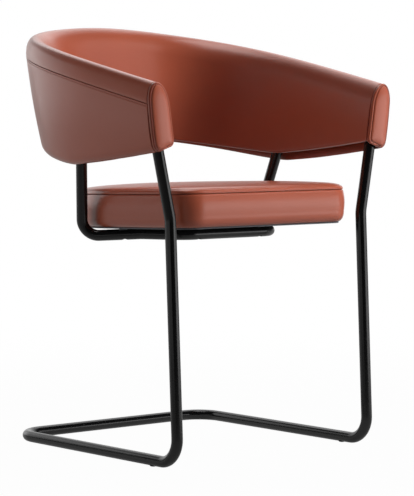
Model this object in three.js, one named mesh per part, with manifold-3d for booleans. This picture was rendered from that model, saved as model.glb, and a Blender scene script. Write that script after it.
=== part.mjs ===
// Cantilever lounge chair: a leather tub back and a leather seat on bent round steel tube.
// Millimetres. +Z is up, the sitter looks along -Y and +X is the sitter's left.
// The origin is on the floor, under the middle of the chair's bounding box.

import * as THREE from 'three';
import { mergeVertices } from 'three/addons/utils/BufferGeometryUtils.js';
import Module from 'manifold-3d';

const wasm = await Module();
wasm.setup();

// Fits and cuts
const fitGap = 0.3;
const foamGap = 0.6;
const cutOverrun = 40;
const mergeDistance = 0.001;

// Steel tube
const tubeDiameter = 20;
const tubeWall = 2;
const frontBendRadius = 43;
const rearBendRadius = 50;
const kinkBendRadius = 60;
const footBendRadius = 28;
const elbowBendRadius = 43;
const crossBendRadius = 40;
const armBendRadius = 36;

// Heights that the rest follows: the seat's underside, then the arms over it
const seatUndersideHeight = 407;
const armAboveSeat = 257;
const backAboveArm = 108.5;
const armFrontDepth = 118.5;
const armDeepest = 144.5;
const backDepth = 209.5;

// Plan sizes that the rest follows: the tub back's lower edge and its front
const edgeHalfWidth = 248;
const armFlare = 21;
const bandFront = 228;
const edgeBackReach = 228;
const rimBackReach = 269;

// Floor frame and front uprights, measured on the tube's centreline
const uprightInset = 23.7;
const frontTubeInset = 10.5;
const frontTubeLean = 3.2;
const baseHalfDepth = 237.5;
const glideStand = 1;
const kinkAboveSeat = 23;
const frontEntryRise = 1.5;
const frontEntryOut = 0.5;
const frontJointRise = 22.5;

// Rear legs and the tube under the seat, measured on the centreline
const rearLegDepth = 56.5;
const rearLegGap = 13.1;
const rearLegDip = 6;
const rearEntryInset = 17;
const rearEntryLean = 30.9;
const rearEntryRise = 3.5;
const rearJointRise = 33.5;
const railElbowHalfWidth = 142;
const railElbowSetback = 33;
const railDrop = 12;
const crossHalfWidth = 103;
const crossSetback = 109;

// Hidden tube inside each arm
const armRailDrop = 44;
const armRailFall = 16;
const spigotLength = 28;
const spigotSlack = 0.6;

// Floor glides
const glideDiameter = 13;
const glideHeight = 3.2;
const glideStemDiameter = 5;
const glideStemLength = 7;
const glideHoleSlack = 0.8;
const frontGlideInset = 67.5;
const rearGlideInset = 60;

// Tub back: plan curves of its middle surface at the rim and at the lower edge
const rimCurveSetback = 121;
const edgeCurveSetback = 23;
const rimSquareness = 2.95;
const edgeSquareness = 3.2;
const edgeLowShare = 0.4;

// Tub back: section
const armThickness = 45;
const backThickness = 50;
const rollHeight = 42;
const seamDrop = 37;
const outerBulge = 2.4;
const edgeRoundDepth = 8;
const edgeRoundHeight = 14;
const innerEdgeLift = 14;
const innerEdgeBackLift = 2.5;
const leatherThickness = 1.4;
const shellThickness = 7;
const hemHeight = 16;
const linerThickness = 1.5;

// Arm fronts
const armPadEdge = 6;
const armPadCrown = 4;
const armPadCornerRadius = 12;
const armPadInnerLift = 8;

// Blocks that hold the back's plywood to the hidden arm tubes
const blockLength = 26;
const blockScrewDiameter = 4;
const blockScrewHeadDiameter = 8;
const blockScrewHeadHeight = 2.4;
const blockScrewClearance = 1;
const blockScrewEdge = 0.5;
const blockScrewBite = 5;

// Seat cushion
const seatPitch = THREE.MathUtils.degToRad(1.8);
const seatSideGap = 15.3;
const seatStraightBack = -30;
const seatRearDepth = 225;
const seatCornerRadius = 46;
const seatSeamHeight = 60;
const seatCrown = 16;
const seatSideBulge = 1.6;
const seatSeamDraw = 1.2;
const seatEdgeWidth = 11;
const seatEdgeHeight = 19;
const seatFlangeWidth = 22;
const seatBoardThickness = 12;
const seatBoardInset = 12;
const dustClothThickness = 1.2;
const seatLeatherThickness = 1.5;

// Seat fixings
const seatPanelThickness = 2.5;
const seatPanelInset = 17;
const saddleLength = 15;
const saddleWidth = 14;
const seatScrewDiameter = 6;
const seatScrewHeadDiameter = 9;
const seatScrewHeadHeight = 3;
const seatScrewSlack = 0.6;
const accessHoleDiameter = 11;
const nutBarrelDiameter = 8.6;
const nutFlangeDiameter = 20;
const nutFlangeThickness = 1.4;
const rearSaddleShare = 0.72;
const frontSaddleInset = 31;

// Facets
const tubeSides = 12;
const boreSides = 6;
const bendSteps = 5;
const bandSteps = 36;
const seatSteps = 44;
const hiddenSides = 8;
const roundSides = 8;
const rollSteps = 9;

// Sizes that follow from the ones above
const tubeRadius = tubeDiameter / 2;
const boreRadius = tubeRadius - tubeWall;
const tubeLow = glideStand + tubeRadius;
const blockScrewPitch = tubeDiameter + blockScrewHeadDiameter + 2 * blockScrewClearance;
const blockHeight = blockScrewPitch + blockScrewHeadDiameter + 2 * blockScrewEdge;
const rimFrontHeight = seatUndersideHeight + armAboveSeat;
const rimBackHeight = rimFrontHeight + backAboveArm;
const edgeFrontHeight = rimFrontHeight - armFrontDepth;
const edgeLowHeight = rimFrontHeight - armDeepest;
const edgeBackHeight = rimBackHeight - backDepth;
const rimHalfWidth = edgeHalfWidth + armFlare;
const baseHalfWidth = edgeHalfWidth - uprightInset;
const seatHalfWidth = baseHalfWidth - tubeRadius - seatSideGap;

const vec = (x, y, z) => new THREE.Vector3(x, y, z);
const mirrored = (points) => points.map((p) => vec(-p.x, p.y, p.z));

// A curve that visits chosen stations, so that a bend gets many steps and a straight run one
class StationCurve extends THREE.Curve {
  constructor(stations) {
    super();
    this.stations = stations;
  }

  getPoint(t, target = new THREE.Vector3()) {
    const place = t * (this.stations.length - 1);
    const index = Math.min(Math.floor(place + 1e-6), this.stations.length - 2);
    const [from, to] = [this.stations[index], this.stations[index + 1]];
    return target.lerpVectors(from.point, to.point, place - index);
  }

  getPointAt(u, target) {
    return this.getPoint(u, target);
  }

  getTangentAt(u, target = new THREE.Vector3()) {
    const index = Math.round(u * (this.stations.length - 1));
    return target.copy(this.stations[index].tangent);
  }
}

// Rounds the corners of a route and returns its stations with their directions
function routeStations(corners, radii) {
  const stations = [];
  const direction = (a, b) => b.clone().sub(a).normalize();
  stations.push({ point: corners[0], tangent: direction(corners[0], corners[1]) });
  for (let i = 1; i < corners.length - 1; i += 1) {
    const arrive = direction(corners[i - 1], corners[i]);
    const leave = direction(corners[i], corners[i + 1]);
    const turn = arrive.angleTo(leave);
    const setback = radii[i - 1] * Math.tan(turn / 2);
    const start = corners[i].clone().addScaledVector(arrive, -setback);
    const inward = leave.clone().addScaledVector(arrive, -leave.dot(arrive)).normalize();
    const centre = start.clone().addScaledVector(inward, radii[i - 1]);
    const steps = Math.max(2, Math.round((bendSteps * turn) / (Math.PI / 2)));
    for (let k = 0; k <= steps; k += 1) {
      const angle = (turn * k) / steps;
      const point = centre.clone()
        .addScaledVector(inward, -radii[i - 1] * Math.cos(angle))
        .addScaledVector(arrive, radii[i - 1] * Math.sin(angle));
      const tangent = arrive.clone().multiplyScalar(Math.cos(angle))
        .addScaledVector(inward, Math.sin(angle));
      stations.push({ point, tangent });
    }
  }
  const last = corners.length - 1;
  stations.push({ point: corners[last], tangent: direction(corners[last - 1], corners[last]) });
  return stations;
}

function polygon(radius, sides) {
  const corner = (k) => (2 * Math.PI * (k + 0.5)) / sides;
  return Array.from({ length: sides }, (_, k) => new THREE.Vector2(
    radius * Math.cos(corner(k)), radius * Math.sin(corner(k)),
  ));
}

function tubeGeometry(corners, radii, outerRadius, innerRadius, sides = tubeSides) {
  const stations = routeStations(corners, radii);
  const section = new THREE.Shape(polygon(outerRadius, sides));
  if (innerRadius > 0) section.holes.push(new THREE.Path(polygon(innerRadius, boreSides)));
  return new THREE.ExtrudeGeometry(section, {
    steps: stations.length - 1,
    extrudePath: new StationCurve(stations),
  });
}

// Solids for cutting and joining
function toSolid(geometry) {
  const bare = geometry.clone();
  for (const name of ['normal', 'uv']) bare.deleteAttribute(name);
  const merged = mergeVertices(bare, mergeDistance);
  return new wasm.Manifold(new wasm.Mesh({
    numProp: 3,
    vertProperties: new Float32Array(merged.attributes.position.array),
    triVerts: new Uint32Array(merged.index.array),
  }));
}

function toGeometry(solid) {
  const mesh = solid.getMesh();
  const geometry = new THREE.BufferGeometry();
  geometry.setAttribute('position', new THREE.BufferAttribute(mesh.vertProperties, 3));
  geometry.setIndex(new THREE.BufferAttribute(mesh.triVerts, 1));
  return geometry;
}

const cutBy = (solid, cutters) => cutters.reduce((left, cutter) => left.subtract(cutter), solid);

function indexedGeometry(points, faces) {
  const geometry = new THREE.BufferGeometry().setFromPoints(points);
  let volume = 0;
  for (const [a, b, c] of faces) {
    volume += points[a].dot(new THREE.Vector3().crossVectors(points[b], points[c]));
  }
  const outward = volume > 0 ? faces : faces.map(([a, b, c]) => [a, c, b]);
  geometry.setIndex(outward.flat());
  return geometry;
}

function bridge(faces, from, to, count) {
  for (let k = 0; k < count; k += 1) {
    const next = (k + 1) % count;
    faces.push([from + k, to + k, to + next], [from + k, to + next, from + next]);
  }
}

// Closed loops stacked one on the next: ends in a point at both ends, or closes on itself
function stackGeometry(rings, firstPoint, lastPoint) {
  const count = rings[0].length;
  const points = rings.flat();
  const faces = [];
  for (let r = 0; r < rings.length - 1; r += 1) bridge(faces, r * count, (r + 1) * count, count);
  const lastRing = (rings.length - 1) * count;
  if (firstPoint) {
    const tip = points.push(firstPoint) - 1;
    const end = points.push(lastPoint) - 1;
    for (let k = 0; k < count; k += 1) {
      const next = (k + 1) % count;
      faces.push([tip, k, next], [end, lastRing + next, lastRing + k]);
    }
  } else {
    bridge(faces, lastRing, 0, count);
  }
  return indexedGeometry(points, faces);
}

// Closed sections set along a run, with a flat cap at both ends
function loftGeometry(sections, contours) {
  const count = sections[0].length;
  const points = sections.flat();
  const faces = [];
  for (let r = 0; r < sections.length - 1; r += 1) bridge(faces, r * count, (r + 1) * count, count);
  const lastRing = (sections.length - 1) * count;
  const [firstContour, lastContour] = [contours[0], contours[contours.length - 1]];
  const turn = THREE.ShapeUtils.isClockWise(firstContour) ? 1 : -1;
  const cap = (contour, offset, flip) => {
    for (const [a, b, c] of THREE.ShapeUtils.triangulateShape(contour, [])) {
      faces.push(flip > 0 ? [offset + a, offset + b, offset + c] : [offset + a, offset + c, offset + b]);
    }
  };
  cap(firstContour, 0, -turn);
  cap(lastContour, lastRing, turn);
  return indexedGeometry(points, faces);
}

// Tub back

// Superellipse plan from the arm's front to the middle of the back, even in length
function planCurve(halfWidth, curveSetback, backReach, squareness) {
  const samples = 240;
  const centreSetback = bandFront - curveSetback;
  const halfDepth = centreSetback + backReach;
  const power = 2 / squareness;
  const startSine = -(((bandFront - centreSetback) / halfDepth) ** (1 / power));
  const start = Math.asin(startSine);
  const points = Array.from({ length: samples + 1 }, (_, k) => {
    const angle = start + ((Math.PI / 2 - start) * k) / samples;
    const sine = Math.sin(angle);
    return vec(
      halfWidth * Math.abs(Math.cos(angle)) ** power,
      Math.sign(sine) * halfDepth * Math.abs(sine) ** power - centreSetback,
      0,
    );
  });
  points[0].y = -bandFront;
  const curve = new THREE.CatmullRomCurve3(points);
  curve.arcLengthDivisions = 4 * samples;
  return curve;
}

const rimPlan = planCurve(rimHalfWidth, rimCurveSetback, rimBackReach, rimSquareness);
const edgePlan = planCurve(edgeHalfWidth, edgeCurveSetback, edgeBackReach, edgeSquareness);

// The rim climbs steadily from the arm and levels out at the back
function rimHeight(share) {
  const power = 4.5;
  const climb = (power * share - share ** power) / (power - 1);
  return rimFrontHeight + (rimBackHeight - rimFrontHeight) * climb;
}

// The lower edge drops to the rear legs and rises again to the back
function edgeHeight(share) {
  if (share < edgeLowShare) {
    const back = (edgeLowShare - share) / edgeLowShare;
    return edgeLowHeight + (edgeFrontHeight - edgeLowHeight) * back ** 1.26;
  }
  const run = (share - edgeLowShare) / (1 - edgeLowShare);
  return edgeLowHeight + (edgeBackHeight - edgeLowHeight) * (1 - (1 - run ** 1.5) ** 2.1);
}

// One station of the band: 0 is the sitter's left arm front, 1 the back, 2 the right arm front
function bandStation(run) {
  const share = run <= 1 ? run : 2 - run;
  const side = run <= 1 ? 1 : -1;
  const rim = rimPlan.getPointAt(share);
  const edge = edgePlan.getPointAt(share);
  const tangent = rimPlan.getTangentAt(share).add(edgePlan.getTangentAt(share));
  const square = THREE.MathUtils.smoothstep(share, 0, 0.08);
  const normal = new THREE.Vector2(tangent.y, -tangent.x * square).normalize();
  if (share === 1) normal.set(0, 1);
  const low = edgeHeight(share);
  const height = rimHeight(share) - low;
  const half = (armThickness + (backThickness - armThickness) * share * share) / 2;
  const fade = THREE.MathUtils.smoothstep(share, edgeLowShare, 0.85);
  const lift = innerEdgeLift + (innerEdgeBackLift - innerEdgeLift) * fade;
  return { share, side, rim, edge, normal, low, height, half, lift };
}

// Turns a place in the band's section (out from its middle, up from its lower edge) into space
function bandPoint(station, out, up) {
  const rise = up / station.height;
  const x = station.edge.x + (station.rim.x - station.edge.x) * rise + station.normal.x * out;
  const y = station.edge.y + (station.rim.y - station.edge.y) * rise + station.normal.y * out;
  return vec(station.side * x, y, station.low + up);
}

// Half thickness of the outer side at a height, less a depth under the leather's face
function outerOut(station, up, depth) {
  const straight = station.height - rollHeight;
  const bulge = outerBulge * Math.sin((Math.PI * Math.min(Math.max(up, 0), straight)) / straight);
  const tuck = up < edgeRoundHeight
    ? edgeRoundDepth * (1 - Math.sqrt(1 - (1 - Math.max(up, 0) / edgeRoundHeight) ** 2)) : 0;
  return station.half - depth + bulge - tuck;
}

function rollPoint(station, angle, depth) {
  return [
    (station.half - depth) * Math.cos(angle),
    station.height - rollHeight + (rollHeight - depth) * Math.sin(angle),
  ];
}

// The outer face from a height up to the start of the roll
function outerRun(station, fromUp, depth, steps) {
  const top = station.height - rollHeight;
  return Array.from({ length: steps + 1 }, (_, k) => {
    const up = fromUp + ((top - fromUp) * k) / steps;
    return [outerOut(station, up, depth), up];
  });
}

function rollRun(station, fromAngle, toAngle, depth, steps) {
  return Array.from({ length: steps + 1 }, (_, k) => (
    rollPoint(station, fromAngle + ((toAngle - fromAngle) * k) / steps, depth)
  ));
}

const seamAngle = Math.asin((rollHeight - seamDrop) / rollHeight);

// Leather that covers the inside, goes over the rim and ends at the seam outside
function innerCoverSection(station) {
  const under = station.lift + leatherThickness / 2;
  const skin = (depth, low) => [
    [-(station.half - depth), low],
    ...rollRun(station, Math.PI, seamAngle, depth, rollSteps),
  ];
  return [...skin(0, station.lift), ...skin(leatherThickness, under).reverse()];
}

// Leather that covers the outside from the seam, round the lower edge and up behind the plywood
function outerCoverSection(station) {
  const shellIn = leatherThickness + fitGap + shellThickness + fitGap;
  const seamEnd = seamAngle - fitGap / station.half;
  const skin = (depth) => [
    rollPoint(station, seamEnd, depth),
    ...outerRun(station, edgeRoundHeight, depth, 2).reverse(),
    [outerOut(station, edgeRoundHeight / 3, depth), edgeRoundHeight / 3],
  ];
  const floorIn = leatherThickness;
  const hemOut = station.half - shellIn;
  return [
    ...skin(0),
    [outerOut(station, 0, 0), 0],
    [hemOut - leatherThickness, 0],
    [hemOut - leatherThickness, hemHeight],
    [hemOut, hemHeight],
    [hemOut, floorIn],
    [outerOut(station, 0, 0), floorIn],
    ...skin(leatherThickness).reverse(),
  ];
}

// Moulded plywood behind the outer leather
function plywoodSection(station) {
  const depth = leatherThickness + fitGap;
  const low = leatherThickness + fitGap;
  const inside = station.half - depth - shellThickness;
  const face = [
    ...outerRun(station, edgeRoundHeight, depth, 2).reverse(),
    [outerOut(station, edgeRoundHeight / 3, depth) - fitGap, edgeRoundHeight / 3],
    [outerOut(station, 0, 0) - fitGap, low],
  ];
  return [...face, [inside, low], [inside, station.height - rollHeight]];
}

// Moulded foam that fills the band behind the plywood and forms the rim
function foamSection(station) {
  const depth = leatherThickness + fitGap;
  const inside = station.half - depth - shellThickness - foamGap;
  const under = station.lift + depth + linerThickness;
  const ledge = station.height - rollHeight + fitGap;
  const hemTop = Math.max(hemHeight + fitGap, under);
  const hemIn = station.half - depth - shellThickness - leatherThickness - 2 * foamGap;
  return [
    [hemIn, hemTop],
    [inside, hemTop + fitGap],
    [inside, ledge],
    [station.half - depth, ledge],
    ...rollRun(station, seamAngle, Math.PI, depth, rollSteps),
    [-(station.half - depth), under],
  ];
}

// Black strip that closes the underside between the two leathers
function linerSection(station) {
  const depth = leatherThickness + fitGap;
  const hemIn = station.half - depth - shellThickness - fitGap - leatherThickness - fitGap;
  const inner = station.lift + leatherThickness;
  const outer = Math.max(hemHeight, station.lift) - fitGap;
  return [
    [-(station.half - depth), inner],
    [hemIn, Math.min(outer, inner)],
    [hemIn, Math.min(outer, inner) + linerThickness - fitGap],
    [-(station.half - depth), inner + linerThickness - fitGap],
  ];
}

function bandGeometry(sectionOf) {
  const stations = Array.from({ length: bandSteps + 1 }, (_, k) => bandStation((2 * k) / bandSteps));
  const outlines = stations.map(sectionOf);
  const sections = outlines.map((outline, k) => outline.map(([out, up]) => bandPoint(stations[k], out, up)));
  const contours = outlines.map((outline) => outline.map(([out, up]) => new THREE.Vector2(out, up)));
  return loftGeometry(sections, contours);
}

// Leather cap on an arm's front, crowned, with a rounded inner lower corner
function armPadGeometry(run) {
  const station = bandStation(run);
  const corner = (centreOut, centreUp, radius, from, to, steps) => (
    Array.from({ length: steps + 1 }, (_, k) => {
      const angle = from + ((to - from) * k) / steps;
      return [centreOut + radius * Math.cos(angle), centreUp + radius * Math.sin(angle)];
    })
  );
  const inset = armPadCornerRadius;
  const outline = [
    ...rollRun(station, 0, Math.PI, 0, 10),
    ...corner(-station.half + inset, armPadInnerLift + inset, inset, Math.PI, 1.45 * Math.PI, 4),
    ...corner(station.half - inset, inset, inset, 1.55 * Math.PI, 2 * Math.PI, 4),
    [station.half + outerBulge / 2, station.height / 3],
  ];
  const middle = [0, (station.height + armPadInnerLift) / 2];
  const edgeY = -bandFront - armPadEdge;
  const ring = (share, y) => outline.map(([out, up]) => {
    const point = bandPoint(
      station, middle[0] + (out - middle[0]) * share, middle[1] + (up - middle[1]) * share,
    );
    return vec(point.x, y, point.z);
  });
  const crown = (share) => edgeY - armPadCrown * (1 - share ** 3);
  const centre = bandPoint(station, ...middle);
  const crownShares = [0.93, 0.75, 0.4];
  return stackGeometry(
    [ring(1, -bandFront - fitGap), ring(1, edgeY), ...crownShares.map((share) => ring(share, crown(share)))],
    vec(centre.x, -bandFront - fitGap, centre.z),
    vec(centre.x, crown(0), centre.z),
  );
}

// Steel tube routes

function alongLine(from, to, height) {
  return from.clone().lerp(to, (height - from.z) / (to.z - from.z));
}

// Half width of the seat at a depth behind its straight sides
function seatEdgeAt(depth) {
  const share = (depth - seatStraightBack) / seatRearDepth;
  return seatHalfWidth * Math.sqrt(1 - share * share);
}

const kinkHeight = seatUndersideHeight + kinkAboveSeat;
const frontTubeSetback = bandFront - frontTubeInset;
const railHeight = seatUndersideHeight - railDrop;
const rearLegHalfWidth = seatEdgeAt(rearLegDepth) + tubeRadius + rearLegGap;
const frontSaddleHalfSpan = crossHalfWidth - frontSaddleInset;

const floorFront = vec(baseHalfWidth, -baseHalfDepth, tubeLow);
const floorRear = vec(baseHalfWidth, baseHalfDepth, tubeLow);
const kink = vec(baseHalfWidth, -frontTubeSetback, kinkHeight);
const frontEntry = vec(
  edgeHalfWidth + frontEntryOut, -frontTubeSetback + frontTubeLean, edgeFrontHeight + frontEntryRise,
);
const frontJoint = alongLine(kink, frontEntry, edgeFrontHeight + frontJointRise);
const frontArmCorner = alongLine(kink, frontEntry, rimFrontHeight - armRailDrop);

const rearFoot = vec(rearLegHalfWidth, rearLegDepth, railHeight - rearLegDip);
const rearEntry = vec(
  edgeHalfWidth - rearEntryInset, rearLegDepth - rearEntryLean, edgeLowHeight + rearEntryRise,
);
const rearJoint = alongLine(rearFoot, rearEntry, edgeLowHeight + rearJointRise);
const rearArmCorner = alongLine(rearFoot, rearEntry, rimFrontHeight - armRailDrop - armRailFall);
const railElbow = vec(railElbowHalfWidth, -railElbowSetback, railHeight);
const crossCorner = vec(crossHalfWidth, -crossSetback, railHeight);

const frontTube = [frontJoint, kink, floorFront, floorRear];
const seatTube = [rearJoint, rearFoot, railElbow, crossCorner];
const wholeRoute = (half) => [...half, ...mirrored(half).reverse()];
const wholeRadii = (half) => [...half, ...[...half].reverse()];
const baseRadii = wholeRadii([kinkBendRadius, frontBendRadius, rearBendRadius]);
const seatRadii = wholeRadii([footBendRadius, elbowBendRadius, crossBendRadius]);

function shifted(point, towards, distance) {
  return point.clone().add(towards.clone().sub(point).normalize().multiplyScalar(distance));
}

// The arm tube's route, which starts and ends a chosen distance past the joints
const armRouteFrom = (start) => [
  shifted(frontJoint, frontArmCorner, start), frontArmCorner,
  rearArmCorner, shifted(rearJoint, rearArmCorner, start),
];
const armRoute = armRouteFrom(fitGap);

const baseTubeAt = (outer, inner) => tubeGeometry(wholeRoute(frontTube), baseRadii, outer, inner);
const seatTubeAt = (outer, inner) => tubeGeometry(wholeRoute(seatTube), seatRadii, outer, inner);
const grownRadius = (sides) => tubeRadius / Math.cos(Math.PI / sides) + fitGap;
const armRailAt = (side, route, outer, inner) => tubeGeometry(
  side > 0 ? route : mirrored(route), [armBendRadius, armBendRadius], outer, inner, hiddenSides,
);

// A turned piece whose profile is radius and height, set on a point along a direction
function turnedGeometry(profile, at, direction) {
  const lathe = new THREE.LatheGeometry(profile.map(([r, h]) => new THREE.Vector2(r, h)), roundSides);
  const turn = new THREE.Quaternion().setFromUnitVectors(vec(0, 1, 0), direction.clone().normalize());
  return lathe.applyQuaternion(turn).translate(at.x, at.y, at.z);
}

const rod = (radius, from, to) => turnedGeometry(
  [[0, 0], [radius, 0], [radius, from.distanceTo(to)], [0, from.distanceTo(to)]],
  from, to.clone().sub(from),
);

// Solid steel plug that lines up two tube ends
function spigotGeometry(joint, towards) {
  const radius = boreRadius * Math.cos(Math.PI / boreSides) - spigotSlack / 2;
  const top = shifted(joint, towards, spigotLength / 2);
  const bottom = shifted(joint, towards, -spigotLength / 2);
  return rod(radius, bottom, top);
}

// Floor glides: a head under the tube and a stem through its lower wall
const frontGlideY = frontGlideInset - baseHalfDepth;
const rearGlideX = baseHalfWidth - rearGlideInset;
const glidePlaces = {
  floor_glide_front_left: [baseHalfWidth, frontGlideY],
  floor_glide_front_right: [-baseHalfWidth, frontGlideY],
  floor_glide_rear_left: [rearGlideX, baseHalfDepth],
  floor_glide_rear_right: [-rearGlideX, baseHalfDepth],
};

function glideGeometry([x, y], grownTube) {
  const head = turnedGeometry(
    [[0, 0], [glideDiameter / 2, 0], [glideDiameter / 2, glideHeight], [0, glideHeight]],
    vec(x, y, 0), vec(0, 0, 1),
  );
  const stem = rod(glideStemDiameter / 2, vec(x, y, glideStand / 2), vec(x, y, glideStemLength));
  return toGeometry(toSolid(head).subtract(grownTube).add(toSolid(stem)));
}

function glideHole([x, y]) {
  const radius = (glideStemDiameter + glideHoleSlack) / 2;
  return toSolid(rod(radius, vec(x, y, -cutOverrun), vec(x, y, tubeLow)));
}

// Blocks between the arm tubes and the plywood
const blockShares = { front: 0.32, rear: 0.74 };

function blockFrame(side, share) {
  const route = side > 0 ? armRoute : mirrored(armRoute);
  const centre = route[1].clone().lerp(route[2], share);
  const along = route[2].clone().sub(route[1]).normalize();
  const out = vec(side, 0, 0).addScaledVector(along, -side * along.x).normalize();
  const up = new THREE.Vector3().crossVectors(out, along);
  if (up.z < 0) up.negate();
  return { centre, along, out, up };
}

function frameBox({ centre, along, out, up }, length, near, far, height) {
  const box = new THREE.BoxGeometry(far - near, length, height);
  const handed = new THREE.Vector3().crossVectors(out, along).dot(up) > 0 ? along : along.clone().negate();
  const basis = new THREE.Matrix4().makeBasis(out, handed, up);
  const middle = centre.clone().addScaledVector(out, (near + far) / 2);
  return box.applyMatrix4(basis).translate(middle.x, middle.y, middle.z);
}

// Everything outward of the plywood's inner face
function outsideOfBand() {
  return toSolid(bandGeometry((station) => {
    const low = leatherThickness + fitGap;
    const inside = station.half - low - shellThickness - fitGap;
    const top = station.height - rollHeight;
    return [[inside + cutOverrun, top], [inside + cutOverrun, low], [inside, low], [inside, top]];
  }));
}

function blockScrewPlaces(frame) {
  const place = (sign) => frame.centre.clone().addScaledVector(frame.up, (sign * blockScrewPitch) / 2);
  return { lower: place(-1), upper: place(1) };
}

// A block screw runs out through the block and bites into the plywood
function blockScrewReach(frame, spot, outside) {
  const ray = rod(blockScrewDiameter / 2, spot, spot.clone().addScaledVector(frame.out, cutOverrun));
  const box = toSolid(ray).subtract(outside).boundingBox();
  const reach = frame.out.x > 0 ? box.max[0] - spot.x : spot.x - box.min[0];
  return reach / Math.abs(frame.out.x) + blockScrewBite;
}

function blockScrewGeometry(frame, spot, reach) {
  const shank = blockScrewDiameter / 2;
  const head = blockScrewHeadDiameter / 2;
  const back = -blockScrewHeadHeight;
  return turnedGeometry([
    [0, back], [head, back], [head, -fitGap / 2], [shank, -fitGap / 2], [shank, reach], [0, reach],
  ], spot, frame.out);
}

// Seat

function seatPath() {
  const path = new THREE.Path();
  const side = seatHalfWidth;
  const radius = seatCornerRadius;
  path.moveTo(0, -bandFront);
  path.lineTo(side - radius, -bandFront);
  path.absarc(side - radius, -bandFront + radius, radius, -Math.PI / 2, 0, false);
  path.lineTo(side, seatStraightBack);
  path.absellipse(0, seatStraightBack, side, seatRearDepth, 0, Math.PI, false);
  path.lineTo(-side, -bandFront + radius);
  path.absarc(-side + radius, -bandFront + radius, radius, Math.PI, 1.5 * Math.PI, false);
  path.lineTo(0, -bandFront);
  return path;
}

// Points round the seat's outline and the way out from it, even in length
function seatOutline() {
  const path = seatPath();
  const corners = path.getSpacedPoints(seatSteps);
  corners.pop();
  return corners.map((point, k) => {
    const before = corners[(k + seatSteps - 1) % seatSteps];
    const after = corners[(k + 1) % seatSteps];
    const tangent = after.clone().sub(before).normalize();
    return { point, normal: new THREE.Vector2(tangent.y, -tangent.x) };
  });
}

const outline = seatOutline();
const seatMiddleY = (seatRearDepth + seatStraightBack - bandFront) / 2;

const seatRing = (inset, height) => outline.map(({ point, normal }) => (
  vec(point.x - normal.x * inset, point.y - normal.y * inset, height)
));

// A ring on the crowned top, which rises steeply at the seam: a share of the way out from the middle
function crownRing(share, depth) {
  const inset = seatSeamDraw + depth;
  const height = seatSeamHeight - depth + seatCrown * Math.sqrt(1 - share ** 4);
  const middle = vec(0, seatMiddleY, height);
  return seatRing(inset, height).map((p) => middle.clone().lerp(p, share));
}

const seatCrownShares = [0.98, 0.92, 0.78, 0.5];
const crownTop = (depth) => vec(0, seatMiddleY, seatSeamHeight + seatCrown - depth);

// Side profile from under the seat up to the seam, as inset and height, less a depth
function sideProfile(depth, top) {
  const round = [0, 0.5, 1].map((share) => {
    const angle = (share * Math.PI) / 2;
    return [
      seatEdgeWidth - (seatEdgeWidth - depth) * Math.sin(angle),
      seatEdgeHeight - (seatEdgeHeight - depth) * Math.cos(angle),
    ];
  });
  return [
    ...round,
    [depth - seatSideBulge, seatSeamHeight / 2],
    [depth + seatSeamDraw, top],
  ];
}

function seatSideGeometry() {
  const top = seatSeamHeight - seatLeatherThickness - fitGap;
  const outside = sideProfile(0, top);
  const inside = sideProfile(seatLeatherThickness, top).reverse();
  const flange = [[seatFlangeWidth, seatLeatherThickness], [seatFlangeWidth, 0]];
  return stackGeometry([...outside, ...inside, ...flange].map(([inset, height]) => seatRing(inset, height)));
}

function seatTopGeometry() {
  const shares = [1, ...seatCrownShares];
  const upper = shares.map((share) => crownRing(share, 0));
  const lower = shares.map((share) => crownRing(share, seatLeatherThickness)).reverse();
  lower[lower.length - 1] = seatRing(seatSeamDraw, seatSeamHeight - seatLeatherThickness);
  return stackGeometry(
    [...upper.reverse(), ...lower.reverse()], crownTop(0), crownTop(seatLeatherThickness),
  );
}

function seatFoamGeometry() {
  const depth = seatLeatherThickness + fitGap;
  const low = seatLeatherThickness + fitGap + seatBoardThickness + fitGap;
  const sides = [
    [seatBoardInset, low],
    [depth + seatEdgeWidth / 2, low],
    [depth - seatSideBulge + fitGap, seatSeamHeight / 2],
    [depth + seatSeamDraw, seatSeamHeight - 2 * depth],
  ].map(([inset, height]) => seatRing(inset, height));
  const crown = seatCrownShares.map((share) => crownRing(share, depth));
  return stackGeometry([...sides, ...crown], vec(0, seatMiddleY, low), crownTop(depth));
}

function plateGeometry(inset, low, thickness) {
  return stackGeometry(
    [seatRing(inset, low), seatRing(inset, low + thickness)],
    vec(0, seatMiddleY, low), vec(0, seatMiddleY, low + thickness),
  );
}

const boardLow = seatLeatherThickness + fitGap;
const panelLow = -fitGap - seatPanelThickness;

// Places on the tube under the seat where a saddle carries it, in the part's frame
const saddlePlaces = [['left', 1], ['right', -1]].flatMap(([word, side]) => {
  const rear = rearFoot.clone().lerp(railElbow, rearSaddleShare);
  const run = railElbow.clone().sub(rearFoot);
  return [
    {
      word: `rear_${word}`,
      point: vec(side * rear.x, rear.y, rear.z),
      turn: Math.atan2(run.y, side * run.x),
    },
    { word: `front_${word}`, point: vec(side * frontSaddleHalfSpan, -crossSetback, railHeight), turn: 0 },
  ];
});

const seatGroup = new THREE.Group();
seatGroup.position.set(0, 0, seatUndersideHeight);
seatGroup.rotation.x = -seatPitch;
seatGroup.updateMatrixWorld(true);

// From the part's frame to the seat's own
const toSeat = (point) => seatGroup.worldToLocal(point.clone());

// Nylon saddle that sits on top of the tube and keeps the seat's underside panel off it
function saddleGeometry(place, grownTube) {
  const spot = toSeat(place.point);
  const top = panelLow - fitGap;
  const block = new THREE.BoxGeometry(saddleLength, saddleWidth, top - spot.z);
  block.rotateZ(place.turn).translate(spot.x, spot.y, (spot.z + top) / 2);
  const radius = (seatScrewDiameter + seatScrewSlack) / 2;
  const hole = rod(radius, vec(spot.x, spot.y, -cutOverrun), vec(spot.x, spot.y, cutOverrun));
  return toGeometry(cutBy(toSolid(block), [grownTube, toSolid(hole)]));
}

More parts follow.
